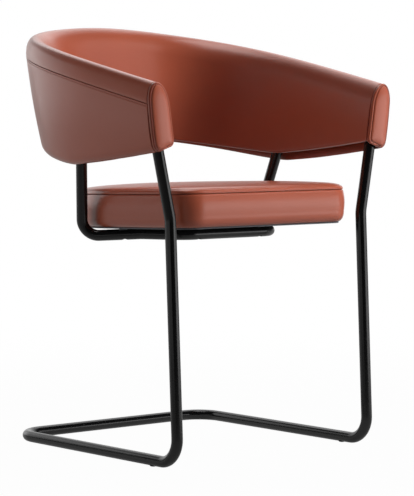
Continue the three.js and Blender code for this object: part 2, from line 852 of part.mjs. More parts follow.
function nutGeometry(spot) {
  const top = boardLow + seatBoardThickness - fitGap;
  const bore = (seatScrewDiameter + seatScrewSlack) / 2;
  const barrel = nutBarrelDiameter / 2;
  const flange = nutFlangeDiameter / 2;
  return turnedGeometry([
    [bore, boardLow], [barrel, boardLow], [barrel, top - nutFlangeThickness],
    [flange, top - nutFlangeThickness], [flange, top], [bore, top], [bore, boardLow],
  ], vec(spot.x, spot.y, 0), vec(0, 0, 1));
}

function nutPocket(spot) {
  const top = boardLow + seatBoardThickness;
  const barrel = nutBarrelDiameter / 2 + fitGap;
  const flange = nutFlangeDiameter / 2 + fitGap;
  const step = top - fitGap - nutFlangeThickness - fitGap;
  return toSolid(turnedGeometry([
    [0, -cutOverrun], [barrel, -cutOverrun], [barrel, step], [flange, step],
    [flange, top + cutOverrun], [0, top + cutOverrun],
  ], vec(spot.x, spot.y, 0), vec(0, 0, 1)));
}

// The seat screw's head bears on the inside of the tube's upper wall
const seatScrewHeadTop = Math.sqrt(
  (boreRadius * Math.cos(Math.PI / boreSides)) ** 2 - (seatScrewHeadDiameter / 2) ** 2,
) - fitGap;

function seatScrewGeometry(spot) {
  const seat = spot.z + seatScrewHeadTop;
  const shank = seatScrewDiameter / 2;
  const head = seatScrewHeadDiameter / 2;
  const tip = boardLow + seatBoardThickness - nutFlangeThickness;
  return turnedGeometry([
    [0, seat - seatScrewHeadHeight], [head, seat - seatScrewHeadHeight], [head, seat],
    [shank, seat], [shank, tip], [0, tip],
  ], vec(spot.x, spot.y, 0), vec(0, 0, 1));
}

// A clear hole for the shank above and a wider one below that lets the head in
function seatScrewHoles({ point }) {
  const spot = toSeat(point);
  const at = (height) => vec(spot.x, spot.y, height);
  const holes = [
    rod((seatScrewDiameter + seatScrewSlack) / 2, at(spot.z), at(cutOverrun)),
    rod(accessHoleDiameter / 2, at(-cutOverrun), at(spot.z)),
  ];
  return holes.map((hole) => toSolid(hole.applyMatrix4(seatGroup.matrixWorld)));
}

// Materials
const finish = (color, roughness, metalness) => ({ color, roughness, metalness });
const finishes = {
  blackTube: finish('#1b1b1d', 0.42, 0.3),
  bareSteel: finish('#8d8f92', 0.38, 0.9),
  leather: finish('#a4583f', 0.45, 0),
  darkLeather: finish('#8c4836', 0.48, 0),
  plywood: finish('#c9a06c', 0.7, 0),
  foam: finish('#d9cfae', 0.95, 0),
  blackCloth: finish('#151515', 0.95, 0),
  nylon: finish('#202022', 0.5, 0),
};

const chair = new THREE.Group();
chair.add(seatGroup);

function addPiece(parent, name, geometry, look) {
  const mesh = new THREE.Mesh(geometry, new THREE.MeshStandardMaterial(look));
  mesh.name = name;
  parent.add(mesh);
}

const grownBase = toSolid(baseTubeAt(grownRadius(tubeSides), 0));
const grownSeat = toSolid(seatTubeAt(grownRadius(tubeSides), 0));
const grownRails = [1, -1].map((side) => (
  toSolid(armRailAt(side, armRouteFrom(-tubeWall), grownRadius(hiddenSides), 0))
));
const grownTubes = [grownBase, grownSeat, ...grownRails];

function addFrame() {
  const glideHoles = Object.values(glidePlaces).map(glideHole);
  const drilled = cutBy(toSolid(baseTubeAt(tubeRadius, boreRadius)), glideHoles);
  addPiece(chair, 'base_tube', toGeometry(drilled), finishes.blackTube);
  const bored = cutBy(toSolid(seatTubeAt(tubeRadius, boreRadius)), saddlePlaces.flatMap(seatScrewHoles));
  addPiece(chair, 'seat_tube', toGeometry(bored), finishes.blackTube);
  for (const [side, word] of [[1, 'left'], [-1, 'right']]) {
    const place = (point) => vec(side * point.x, point.y, point.z);
    const rail = armRailAt(side, armRoute, tubeRadius, boreRadius);
    const frontSpigot = spigotGeometry(place(frontJoint), place(frontArmCorner));
    const rearSpigot = spigotGeometry(place(rearJoint), place(rearArmCorner));
    addPiece(chair, `arm_rail_${word}`, rail, finishes.bareSteel);
    addPiece(chair, `front_spigot_${word}`, frontSpigot, finishes.bareSteel);
    addPiece(chair, `rear_spigot_${word}`, rearSpigot, finishes.bareSteel);
  }
  for (const [name, place] of Object.entries(glidePlaces)) {
    addPiece(chair, name, glideGeometry(place, grownBase), finishes.nylon);
  }
}

function addBack() {
  const outside = outsideOfBand();
  const frames = Object.entries(blockShares).flatMap(([word, share]) => [
    { place: `${word}_left`, ...blockFrame(1, share) },
    { place: `${word}_right`, ...blockFrame(-1, share) },
  ]);
  const screwHoles = [];
  const blockSpaces = [];
  for (const frame of frames) {
    const block = toSolid(frameBox(frame, blockLength, 0, cutOverrun, blockHeight));
    blockSpaces.push(toSolid(frameBox(
      frame, blockLength + 2 * fitGap, -blockScrewHeadHeight - fitGap, cutOverrun, blockHeight + 2 * fitGap,
    )));
    for (const [word, spot] of Object.entries(blockScrewPlaces(frame))) {
      const reach = blockScrewReach(frame, spot, outside);
      addPiece(
        chair, `block_screw_${frame.place}_${word}`, blockScrewGeometry(frame, spot, reach),
        finishes.bareSteel,
      );
      screwHoles.push(toSolid(rod(
        blockScrewDiameter / 2 + fitGap, spot.clone().addScaledVector(frame.out, -cutOverrun),
        spot.clone().addScaledVector(frame.out, reach + fitGap),
      )));
    }
    const seated = cutBy(block.subtract(outside), [...grownRails, ...screwHoles.slice(-2)]);
    addPiece(chair, `rail_block_${frame.place}`, toGeometry(seated), finishes.plywood);
  }
  const plywood = cutBy(toSolid(bandGeometry(plywoodSection)), screwHoles);
  addPiece(chair, 'back_plywood', toGeometry(plywood), finishes.plywood);
  const foam = cutBy(toSolid(bandGeometry(foamSection)), [...grownTubes, ...blockSpaces]);
  addPiece(chair, 'back_foam', toGeometry(foam), finishes.foam);
  const liner = cutBy(toSolid(bandGeometry(linerSection)), grownTubes);
  addPiece(chair, 'back_liner', toGeometry(liner), finishes.blackCloth);
  addPiece(chair, 'inner_cover', bandGeometry(innerCoverSection), finishes.leather);
  addPiece(chair, 'outer_cover', bandGeometry(outerCoverSection), finishes.darkLeather);
  addPiece(chair, 'arm_pad_left', armPadGeometry(0), finishes.leather);
  addPiece(chair, 'arm_pad_right', armPadGeometry(2), finishes.leather);
}

function addSeat() {
  const spots = saddlePlaces.map((place) => toSeat(place.point));
  const blank = toSolid(plateGeometry(seatBoardInset, boardLow, seatBoardThickness));
  const board = cutBy(blank, spots.map(nutPocket));
  const clothInset = seatFlangeWidth + fitGap;
  const holes = spots.map((spot) => toSolid(rod(
    seatScrewDiameter / 2 + fitGap, vec(spot.x, spot.y, -cutOverrun), vec(spot.x, spot.y, cutOverrun),
  )));
  const cloth = cutBy(toSolid(plateGeometry(clothInset, 0, dustClothThickness)), holes);
  const panel = cutBy(toSolid(plateGeometry(seatPanelInset, panelLow, seatPanelThickness)), holes);
  addPiece(seatGroup, 'seat_underside_panel', toGeometry(panel), finishes.nylon);
  addPiece(seatGroup, 'seat_board', toGeometry(board), finishes.plywood);
  addPiece(seatGroup, 'seat_dust_cloth', toGeometry(cloth), finishes.blackCloth);
  addPiece(seatGroup, 'seat_foam', seatFoamGeometry(), finishes.foam);
  addPiece(seatGroup, 'seat_side_cover', seatSideGeometry(), finishes.leather);
  addPiece(seatGroup, 'seat_top_cover', seatTopGeometry(), finishes.leather);
  const intoSeat = seatGroup.matrixWorld.clone().invert();
  const tubeInSeat = toSolid(seatTubeAt(grownRadius(tubeSides), 0).applyMatrix4(intoSeat));
  for (const place of saddlePlaces) {
    const spot = toSeat(place.point);
    addPiece(seatGroup, `seat_nut_${place.word}`, nutGeometry(spot), finishes.bareSteel);
    addPiece(seatGroup, `seat_screw_${place.word}`, seatScrewGeometry(spot), finishes.bareSteel);
    addPiece(seatGroup, `seat_saddle_${place.word}`, saddleGeometry(place, tubeInSeat), finishes.nylon);
  }
}

addFrame();
addBack();
addSeat();

// Centre the chair's depth on the origin
const extent = new THREE.Box3().setFromObject(chair, true);
chair.position.y = -(extent.min.y + extent.max.y) / 2;

const part = new THREE.Group();
part.add(chair);

export default part;
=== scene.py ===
import math

import bmesh
import bpy
import numpy as np
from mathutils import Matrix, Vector


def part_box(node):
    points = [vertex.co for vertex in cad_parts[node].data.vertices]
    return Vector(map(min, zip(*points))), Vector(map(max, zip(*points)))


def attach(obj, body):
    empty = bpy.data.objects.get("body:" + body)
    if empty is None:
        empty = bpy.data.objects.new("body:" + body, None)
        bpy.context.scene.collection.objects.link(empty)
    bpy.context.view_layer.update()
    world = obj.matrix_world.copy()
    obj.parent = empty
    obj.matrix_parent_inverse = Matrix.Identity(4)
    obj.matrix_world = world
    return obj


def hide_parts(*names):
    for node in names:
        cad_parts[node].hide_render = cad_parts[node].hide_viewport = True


bl_info = {
    "name": "Cantilever lounge chair",
    "version": (1, 0, 0),
    "blender": (4, 5, 0),
    "location": "View3D > Sidebar > Chair",
    "description": "Dresses the packed chair in leather, steel tube and thread, and sets its stage",
    "category": "Object",
}

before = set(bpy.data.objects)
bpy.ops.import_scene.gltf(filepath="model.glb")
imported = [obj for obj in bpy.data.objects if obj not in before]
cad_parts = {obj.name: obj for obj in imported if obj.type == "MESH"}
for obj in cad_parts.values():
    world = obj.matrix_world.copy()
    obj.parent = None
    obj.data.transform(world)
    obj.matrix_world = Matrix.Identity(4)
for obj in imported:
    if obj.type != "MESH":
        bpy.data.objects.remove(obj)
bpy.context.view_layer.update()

# Lengths are in millimetres, in the chair's own frame, except where a heading says metres
MM = 0.001

# Tub back: heights
SEAT_UNDERSIDE = 407.0
RIM_FRONT_HEIGHT = SEAT_UNDERSIDE + 257.0
RIM_BACK_HEIGHT = RIM_FRONT_HEIGHT + 108.5
EDGE_FRONT_HEIGHT = RIM_FRONT_HEIGHT - 118.5
EDGE_LOW_HEIGHT = RIM_FRONT_HEIGHT - 144.5
EDGE_BACK_HEIGHT = RIM_BACK_HEIGHT - 209.5
EDGE_LOW_SHARE = 0.4
RIM_CLIMB_POWER = 4.5
EDGE_DROP_POWER, EDGE_START_POWER, EDGE_END_POWER = 1.26, 1.5, 2.1

# Tub back: plan
BAND_FRONT = 228.0
EDGE_HALF_WIDTH = 248.0
RIM_HALF_WIDTH = 269.0
RIM_SETBACK, RIM_BACK_REACH, RIM_SQUARENESS = 121.0, 269.0, 2.95
EDGE_SETBACK, EDGE_BACK_REACH, EDGE_SQUARENESS = 23.0, 228.0, 3.2
FRONT_STRAIGHT_SHARE = 0.08

# Tub back: section
ARM_THICKNESS, BACK_THICKNESS = 45.0, 50.0
ROLL_HEIGHT, SEAM_DROP = 42.0, 37.0
OUTER_BULGE = 2.4
EDGE_ROUND_DEPTH, EDGE_ROUND_HEIGHT = 8.0, 14.0
INNER_LIFT, INNER_BACK_LIFT = 14.0, 2.5
INNER_LIFT_FADE_SHARE = 0.85
INNER_BELLY = 0.8
SHELL_DEPTH = 7.6
BACK_LEATHER = 1.4
HEM_HEIGHT, HEM_FOLD_RADIUS = 16.0, 1.0
LOWER_BEND_RADIUS, LOWER_FOLD_REACH = 4.5, 14.0
LINING_SETBACK = 2.0
FIT_GAP = 0.3
SEAM_ANGLE = math.asin((ROLL_HEIGHT - SEAM_DROP) / ROLL_HEIGHT)

# Arm fronts
PAD_DEPTH = 10.0
PAD_WALL, PAD_ROUND = 3.4, 3.0
PAD_ROW, PAD_VALLEY, PAD_VALLEY_WIDTH = 4.0, 0.85, 0.8
PAD_SLOPE, PAD_CROWN_SHARE, PAD_CROWN_POWER = 0.16, 0.76, 2.2
PAD_CORNER, PAD_LIFT = 12.0, 8.0
PAD_BACK_STEPS = ((9.0, FIT_GAP), (1.5, FIT_GAP), (1.0, 0.45), (0.45, 0.9), (0.1, 1.5), (0, 2.2))
PAD_VALLEY_INSETS = (3.3, 3.6, PAD_ROW, 4.4, 4.8, 5.5)
PAD_CROWN_SHARES = (0.68, 0.6, 0.52, 0.44, 0.35, 0.25, 0.14, 0.05)
# Painted shade: how dark it is on the rings round the stitched valley, on the border rings at the pad's edge,
# and on the pad's outer side, and how far that outer shade reaches
PAD_VALLEY_SHADE = (0.35, 0.7, 1, 0.7, 0.35)
PAD_BORDER_SHADE = (1, 1, 0.9, 0.7, 0.45, 0.25, 0.1)
PAD_OUTER_SHADE, PAD_OUTER_SHADE_REACH = 0.85, 8.0

# Seat cushion
SEAT_PITCH = math.radians(1.8)
SEAT_HALF_WIDTH = 199.0
SEAT_FRONT = 228.0
SEAT_STRAIGHT_BACK = -30.0
SEAT_REAR_DEPTH = 225.0
SEAT_CORNER = 46.0
SEAT_REAR_SQUARENESS = 2.4
SEAM_HEIGHT = 60.0
SEAT_ROLL, SEAT_ROLL_POWER = 9.0, 30
SEAT_DOME, SEAT_DOME_POWER = 8.0, 3
SEAT_BULGE = 1.6
SEAM_DRAW = 1.2
SEAT_EDGE_WIDTH, SEAT_EDGE_HEIGHT = 11.0, 19.0
FLANGE_WIDTH = 22.0
SEAT_LEATHER = 1.5
SEAT_MIDDLE = (SEAT_REAR_DEPTH + SEAT_STRAIGHT_BACK - SEAT_FRONT) / 2
SEAT_REAR_SEAM = 72.0
SEAT_TOP_SHARES = (
    0.9993, 0.9975, 0.995, 0.992, 0.989, 0.986, 0.9835, 0.981, 0.9785, 0.976, 0.973, 0.968,
    0.96, 0.948, 0.93, 0.905, 0.87, 0.82, 0.76, 0.69, 0.61, 0.52, 0.42, 0.31, 0.19, 0.07,
)
SEAT_TOP_ROW, SEAT_TOP_REACH = 0.981, 200.0
SEAT_TOP_EDGE = ((1.4, -1.35), (0.6, -1.2), (0.15, -0.8), (0.0, -0.3))
# How dark the painted shade is on the top's outer rings at its seam
SEAT_TOP_SHADE = (0.1, 0.25, 0.5, 0.9, 1)
REAR_SEAM_ROW = 3.6
PANEL_INSET, PANEL_THICKNESS, PANEL_ROUND, PANEL_BEVEL = 10.0, 2.5, 0.8, 0.25
CLOTH_THICKNESS = 1.2
CAP_INSET = 60

# Seams: rows of stitches and the groove that they pull, turned edges, the reach of painted shade, thread and
# close spacings
STITCH_ROW = 4.2
GROOVE_DEPTH, GROOVE_WIDTH = 0.45, 1.0
# The last number on the next line is how far the painted shade reaches from a seam or a turned front edge
FRONT_TURN, BACK_SEAM_TURN, SEAM_SHADE_REACH = 1.8, 1.4, 1.1
REAR_SEAM_TURN, TOP_SEAM_TURN = 0.9, 1.2
THREAD_RADIUS, THREAD_SIDES, THREAD_REACH, THREAD_DIP = 0.38, 6, 0.4, 0.35
THREAD_SHAPE = ((-1.0, 0.0), (-0.85, 0.6), (-0.4, 1.0), (0.4, 1.0), (0.85, 0.6), (1.0, 0.0))
SEAM_SPACING = (0, 0.3, 0.7, 1.2, 1.8, 2.5, 3.0, 3.4, 3.8, 4.2, 4.6, 5.0, 5.4, 6.0, 7.0)
FRONT_SPACING = (0, 0.25, 0.6, 1.1, 1.8, 2.8, 4.5, 6.5)
REAR_SEAM_SPACING = (-5, -3.6, -2.6, -1.8, -1.2, -0.8, -0.4, 0, 0.4, 0.8, 1.2, 1.8, 2.6, 3.6, 5)

# Where the row of stitches and the lining stop short of the arm fronts, as a share of the run
SHORT_OF_FRONT = 0.004

# Floor: how far it reaches to each side
FLOOR_REACH = 30000.0

# Padding in metres, with the cloth's pressure and how many frames it runs
PADDING_VOXEL, BACK_PADDING_REACH, SEAT_PADDING_REACH = 0.006, 0.0017, 0.003
PADDING_PRESSURE, PADDING_FRAMES = 4.0, 20

# Tube routes on the centreline, with the radius of each bend
TUBE_WALL, TUBE_SIDES = 2.0, 40
FRAME_ROUTE = [(252.84, -213.73, 568.0), (224.3, -217.5, 430.0), (224.3, -237.5, 11.0), (224.3, 237.5, 11.0)]
FRAME_RADII = [60.0, 43.0, 50.0]
SEAT_ROUTE = [(236.42, 18.68, 553.0), (206.81, 56.5, 389.0), (142.0, -33.0, 395.0), (103.0, -109.0, 395.0)]
SEAT_RADII = [28.0, 43.0, 40.0]
SCREW_HOLE, ACCESS_HOLE, HOLE_REACH = 3.3, 5.5, 20.0

# Floor glides: radius and height round the foot, its sole under the tube and its stem in it
GLIDE_PROFILE = [
    (0, 0), (3.6, 0), (5.0, 0.3), (6.1, 1.1), (6.5, 2.0), (6.4, 2.8), (6.1, 3.2), (0, 3.2),
]
GLIDE_SOLE = 0.7
STEM_RADIUS, STEM_START, STEM_REACH = 2.5, 0.4, 6.6
STEM_HOLE, STEM_HOLE_START, STEM_HOLE_TOP = 2.9, -5.0, 10.5

# Lamps in metres: name, setting, place, size, and whether gloss and whether dull faces show it
LAMPS = (
    ("key_light", "key", (1.8, -1.85, 2.2), (1.8, 1.6), False, True),
    ("side_light", "side", (-2.3, 1.35, 1.5), (1.8, 1.5), False, True),
    ("side_panel", "fill", (-2.6, 0.3, 0.29), (4.6, 0.56), True, True),
    ("low_panel", "low", (1.75, -2.2, 0.45), (2.2, 0.85), True, True),
    ("back_light", "back", (1.1, 1.3, 2.25), (2.2, 1.4), True, True),
    ("rear_panel", "rear", (-0.8, 2.45, 1.05), (1.8, 1.5), True, False),
    ("top_panel", "top", (0.0, 0.25, 2.45), (1.3, 1.1), True, False),
)
LAMP_TARGET = (0, 0, 0.5)

# Camera and backdrop in metres, with the sensor and the lens in millimetres
CAMERA_PLACE, CAMERA_WAY = (-2.6602, -3.2476, 0.6262), (0.6404, 0.7655, -0.0631)
CAMERA_SENSOR, CAMERA_LENS, CAMERA_CLIP = 36.0, 164.98, (0.1, 60.0)
BACKDROP_WAY, BACKDROP_SPAN = (0.64, 0.77, 0.0), (0.35, 0.9)

# The part's frame has the chair's depth centred on its origin
FORE_AFT = -BAND_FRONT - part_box("inner_cover")[0].y / MM


def smoothstep(value, low, high):
    """0 below a range, 1 above it and an even climb between."""
    share = np.clip((value - low) / (high - low), 0.0, 1.0)
    return share * share * (3.0 - 2.0 * share)


def linear(code):
    """A hex colour as linear red, green, blue and one."""
    parts = [int(code[k:k + 2], 16) / 255 for k in (1, 3, 5)]
    return (*(c / 12.92 if c <= 0.04045 else ((c + 0.055) / 1.055) ** 2.4 for c in parts), 1.0)


# Making meshes

def new_object(name, points, faces, material, smooth=True):
    """A mesh object from points in the chair's frame, in millimetres."""
    points = np.asarray(points, float) - (0.0, FORE_AFT, 0.0)
    mesh = bpy.data.meshes.new(name)
    mesh.from_pydata((points * MM).tolist(), [], faces)
    mesh.validate()
    bm = bmesh.new()
    bm.from_mesh(mesh)
    bmesh.ops.recalc_face_normals(bm, faces=bm.faces)
    bm.to_mesh(mesh)
    bm.free()
    mesh.polygons.foreach_set("use_smooth", [smooth] * len(mesh.polygons))
    obj = bpy.data.objects.new(name, mesh)
    bpy.context.scene.collection.objects.link(obj)
    if material:
        mesh.materials.append(material)
    return obj


def ring_faces(rings, count, closed_run=False):
    """Quads between rings of a loft, with a many sided face at both ends."""
    faces = []
    last = rings if closed_run else rings - 1
    for r in range(last):
        here, there = r * count, (r + 1) % rings * count
        for k in range(count):
            after = (k + 1) % count
            faces.append((here + k, here + after, there + after, there + k))
    if not closed_run:
        faces.append(tuple(range(count)))
        faces.append(tuple(range((rings - 1) * count, rings * count)))
    return faces


def loft(name, rings, material, closed_run=False):
    """An object skinned over rings of equal counts: capped at both ends, or closed from last to first."""
    rings = np.asarray(rings, float)
    faces = ring_faces(rings.shape[0], rings.shape[1], closed_run)
    return new_object(name, rings.reshape(-1, 3), faces, material)


def sharpen(obj, degrees=40.0):
    """Smooth shading that breaks at edges sharper than an angle."""
    with bpy.context.temp_override(active_object=obj, selected_editable_objects=[obj], object=obj):
        bpy.ops.object.shade_smooth_by_angle(angle=math.radians(degrees))


def set_marks(obj, name, values):
    """A number on every point, which a material reads by its name."""
    layer = obj.data.attributes.new(name, "FLOAT", "POINT")
    layer.data.foreach_set("value", np.asarray(values, np.float32).ravel())


def carve(obj, cutters):
    """Cuts other objects out of one and removes them."""
    for cutter in cutters:
        cut = obj.modifiers.new("cut", "BOOLEAN")
        cut.operation, cut.solver, cut.object = "DIFFERENCE", "EXACT", cutter
    apply_modifiers(obj)
    for cutter in cutters:
        bpy.data.objects.remove(cutter)


def apply_modifiers(obj):
    """Keeps what the modifiers make as the object's own mesh."""
    graph = bpy.context.evaluated_depsgraph_get()
    made = bpy.data.meshes.new_from_object(obj.evaluated_get(graph))
    obj.modifiers.clear()
    old = obj.data
    obj.data = made
    bpy.data.meshes.remove(old)


def point_table(mesh):
    """Every point of a mesh as a row of x, y and z."""
    table = np.empty(3 * len(mesh.vertices), np.float32)
    mesh.vertices.foreach_get("co", table)
    return table.reshape(-1, 3)


def shrink(obj, distance):
    """Moves every point in along its normal."""
    normals = np.empty(3 * len(obj.data.vertices), np.float32)
    obj.data.vertices.foreach_get("normal", normals)
    places = point_table(obj.data) - distance * normals.reshape(-1, 3)
    obj.data.vertices.foreach_set("co", places.ravel())


def stuff(pad, cap):
    """Stuffs a copied solid: a fresh skin, air under it as cloth held to a short way, then smoothing."""
    skin = pad.modifiers.new("skin", "REMESH")
    skin.mode, skin.voxel_size = "VOXEL", PADDING_VOXEL
    apply_modifiers(pad)
    shrink(pad, cap)
    start = point_table(pad.data)
    cloth = pad.modifiers.new("cloth", "CLOTH")
    cloth.settings.use_pressure = True
    cloth.settings.uniform_pressure_force = PADDING_PRESSURE
    cloth.settings.effector_weights.gravity = 0.0
    cloth.point_cache.frame_start, cloth.point_cache.frame_end = 1, PADDING_FRAMES
    scene = bpy.context.scene
    for step in range(1, PADDING_FRAMES + 1):
        scene.frame_set(step)
    graph = bpy.context.evaluated_depsgraph_get()
    way = point_table(pad.evaluated_get(graph).data) - start
    pad.modifiers.clear()
    scene.frame_set(1)
    reach = np.linalg.norm(way, axis=1, keepdims=True)
    way *= np.minimum(1.0, cap / np.maximum(reach, 1e-9))
    pad.data.vertices.foreach_set("co", (start + way).ravel())
    pad.modifiers.new("smooth", "SUBSURF").levels = 1
    apply_modifiers(pad)
    pad.data.polygons.foreach_set("use_smooth", [True] * len(pad.data.polygons))


def padding_from(node, name, cap):
    """A stuffed pad in place of a packed foam solid."""
    pad = bpy.data.objects.new(name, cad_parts[node].data.copy())
    bpy.context.scene.collection.objects.link(pad)
    pad.data.materials.clear()
    pad.data.materials.append(finish("seat_foam"))
    stuff(pad, cap)
    finish_piece(pad, "foam", node)


def finish_piece(obj, slot, *nodes):
    """Puts a piece on the chair's one body and hides the packed nodes that it stands for; its slot is not
    used.
    """
    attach(obj, "root")
    if nodes:
        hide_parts(*nodes)


# Tub back

def plan_curve(half_width, setback, back_reach, squareness):
    """Squared oval seen from above, from an arm's front to the middle of the back, at an even step."""
    centre = BAND_FRONT - setback
    half_depth = centre + back_reach
    power = 2 / squareness
    start = math.asin(-((setback / half_depth) ** (1 / power)))
    share = np.linspace(0, 1, 6001)
    angle = start + (math.pi / 2 - start) * (1 - (1 - share) ** 2)
    sine = np.sin(angle)
    x = half_width * np.abs(np.cos(angle)) ** power
    y = np.sign(sine) * half_depth * np.abs(sine) ** power - centre
    x[-1], y[0] = 0.0, -BAND_FRONT
    length = np.concatenate([[0], np.cumsum(np.hypot(np.diff(x), np.diff(y)))])
    even = np.linspace(0, length[-1], 1501)
    return np.stack([np.interp(even, length, x), np.interp(even, length, y)], 1), length[-1]


class Band:
    """Stations of the tub back: 0 is the left arm's front, 1 the back and 2 the right arm's front."""

    def __init__(self, runs):
        runs = np.asarray(runs, float)
        share = np.where(runs <= 1, runs, 2 - runs)
        rim, self.rim_length = plan_curve(RIM_HALF_WIDTH, RIM_SETBACK, RIM_BACK_REACH, RIM_SQUARENESS)
        edge, _ = plan_curve(EDGE_HALF_WIDTH, EDGE_SETBACK, EDGE_BACK_REACH, EDGE_SQUARENESS)
        self.share = share
        self.side = np.where(runs <= 1, 1.0, -1.0)
        self.rim, rim_way = self._along(rim)
        self.edge, edge_way = self._along(edge)
        way = rim_way + edge_way
        normal = np.stack([way[:, 1], -way[:, 0] * smoothstep(share, 0, FRONT_STRAIGHT_SHARE)], 1)
        normal /= np.linalg.norm(normal, axis=1, keepdims=True)
        normal[share >= 1] = (0.0, 1.0)
        self.normal = normal
        climb = (RIM_CLIMB_POWER * share - share ** RIM_CLIMB_POWER) / (RIM_CLIMB_POWER - 1)
        self.low = self._edge_height()
        self.height = RIM_FRONT_HEIGHT + (RIM_BACK_HEIGHT - RIM_FRONT_HEIGHT) * climb - self.low
        self.half = (ARM_THICKNESS + (BACK_THICKNESS - ARM_THICKNESS) * share ** 2) / 2
        fade = smoothstep(share, EDGE_LOW_SHARE, INNER_LIFT_FADE_SHARE)
        self.lift = INNER_LIFT + (INNER_BACK_LIFT - INNER_LIFT) * fade
        self.from_front = share * self.rim_length

    def _along(self, curve):
        """Places on a plan curve for every station, and the directions there."""
        even = np.linspace(0, 1, len(curve))
        way = np.gradient(curve, axis=0)
        way /= np.linalg.norm(way, axis=1, keepdims=True)
        pick = lambda table: np.stack([np.interp(self.share, even, table[:, k]) for k in (0, 1)], 1)
        return pick(curve), pick(way)

    def _edge_height(self):
        """How high the lower edge is: down behind the arm's front, then up to the back."""
        front = np.clip((EDGE_LOW_SHARE - self.share) / EDGE_LOW_SHARE, 0, 1)
        rear = np.clip((self.share - EDGE_LOW_SHARE) / (1 - EDGE_LOW_SHARE), 0, 1)
        drop = (EDGE_FRONT_HEIGHT - EDGE_LOW_HEIGHT) * front ** EDGE_DROP_POWER
        rear = 1 - (1 - rear ** EDGE_START_POWER) ** EDGE_END_POWER
        climb = (EDGE_BACK_HEIGHT - EDGE_LOW_HEIGHT) * rear
        return EDGE_LOW_HEIGHT + drop + climb

    def points(self, section):
        """Section places (out from the middle, up from the lower edge) turned into space."""
        out, up = section[..., 0], section[..., 1]
        rise = (up / self.height[:, None])[..., None]
        place = self.edge[:, None] + (self.rim - self.edge)[:, None] * rise
        place = place + self.normal[:, None] * out[..., None]
        return np.stack([self.side[:, None] * place[..., 0], place[..., 1], self.low[:, None] + up], -1)

    def outer_out(self, up):
        """How far out the outer face is at a height."""
        straight = (self.height - ROLL_HEIGHT)[:, None]
        bulge = OUTER_BULGE * np.sin(np.pi * np.clip(up / straight, 0, 1))
        near = np.clip(1 - np.maximum(up, 0) / EDGE_ROUND_HEIGHT, 0, 1)
        tuck = EDGE_ROUND_DEPTH * (1 - np.sqrt(np.clip(1 - near ** 2, 0, 1)))
        return self.half[:, None] + bulge - tuck

    def roll(self, angles):
        """Section places over the rim, from the outer face at 0 to the inner face at pi."""
        out = self.half[:, None] * np.cos(angles)[None]
        up = self.height[:, None] - ROLL_HEIGHT + ROLL_HEIGHT * np.sin(angles)[None]
        return np.stack([out, up + 0 * out], -1)


def band_runs(steps=220):
    """Even runs, with close ones at both arm fronts for the turned-in edge."""
    length = Band([0]).rim_length
    close = np.array(FRONT_SPACING) / length
    middle = np.linspace(10 / length, 2 - 10 / length, steps)
    return np.concatenate([close, middle, 2 - close[::-1]])


def turn_in(distance, radius):
    """How deep an edge lies where leather rounds into a seam."""
    near = np.clip(1 - distance / radius, 0, 1)
    return radius * (1 - np.sqrt(np.clip(1 - near ** 2, 0, 1)))


def path_normals(path):
    """Directions to the left of a section path's run."""
    way = np.gradient(path, axis=1)
    way /= np.maximum(np.linalg.norm(way, axis=2, keepdims=True), 1e-9)
    return np.stack([-way[..., 1], way[..., 0]], -1), way


def path_length(path):
    """How far along its run each place of a section path lies."""
    step = np.linalg.norm(np.diff(path, axis=1), axis=2)
    return np.concatenate([np.zeros((len(path), 1)), np.cumsum(step, axis=1)], 1)


def sheet_section(path, thickness):
    """A closed section of even thickness behind a face, with rounded edges."""
    normal, way = path_normals(path)
    inner = path - normal * thickness
    angles = np.linspace(0, math.pi, 6)[1:-1]

    def edge(index, sign):
        middle = (path[:, index] + inner[:, index]) / 2
        return [
            middle + thickness / 2 * (math.cos(a) * normal[:, index] + sign * math.sin(a) * way[:, index])
            for a in angles
        ]

    end = np.stack(edge(-1, 1), 1)
    start = np.stack(edge(0, -1), 1)[:, ::-1]
    return np.concatenate([path, end, inner[:, ::-1], start], 1)


def column(band, *values):
    """One section place for every station, as a column."""
    out, up = (np.broadcast_to(np.asarray(v, float), band.share.shape) for v in values)
    return np.stack([out, up], -1)[:, None]


def corner_arc(centre_out, centre_up, radius, start, end, steps):
    """Section places round a corner, with its centre given for every station."""
    angles = np.linspace(start, end, steps)
    out = np.asarray(centre_out)[:, None] + radius * np.cos(angles)[None]
    up = np.asarray(centre_up)[:, None] + radius * np.sin(angles)[None]
    return np.stack([out, up], -1)


def straight(start, end, steps, skip=1):
    """Places between two columns, without the first ones."""
    share = np.linspace(0, 1, steps)[None, skip:, None]
    return start + (end - start) * share


def groove(distance):
    """How deep a row of stitches pulls the leather in, at a distance from the row."""
    return GROOVE_DEPTH * np.exp(-(np.asarray(distance) / GROOVE_WIDTH) ** 2)


def resample(path, spacing):
    """The same paths with close places near their start and even ones beyond."""
    length = path_length(path)
    total = length[:, -1:]
    near = np.broadcast_to(np.asarray(spacing, float), (len(path), len(spacing)))
    rest = near[:, -1:] + (total - near[:, -1:]) * np.linspace(0, 1, 44)[None, 1:]
    wanted = np.concatenate([near, rest], 1)
    made = np.empty((*wanted.shape, 2))
    for row, (at, have) in enumerate(zip(wanted, length)):
        for axis in (0, 1):
            made[row, :, axis] = np.interp(at, have, path[row, :, axis])
    return made


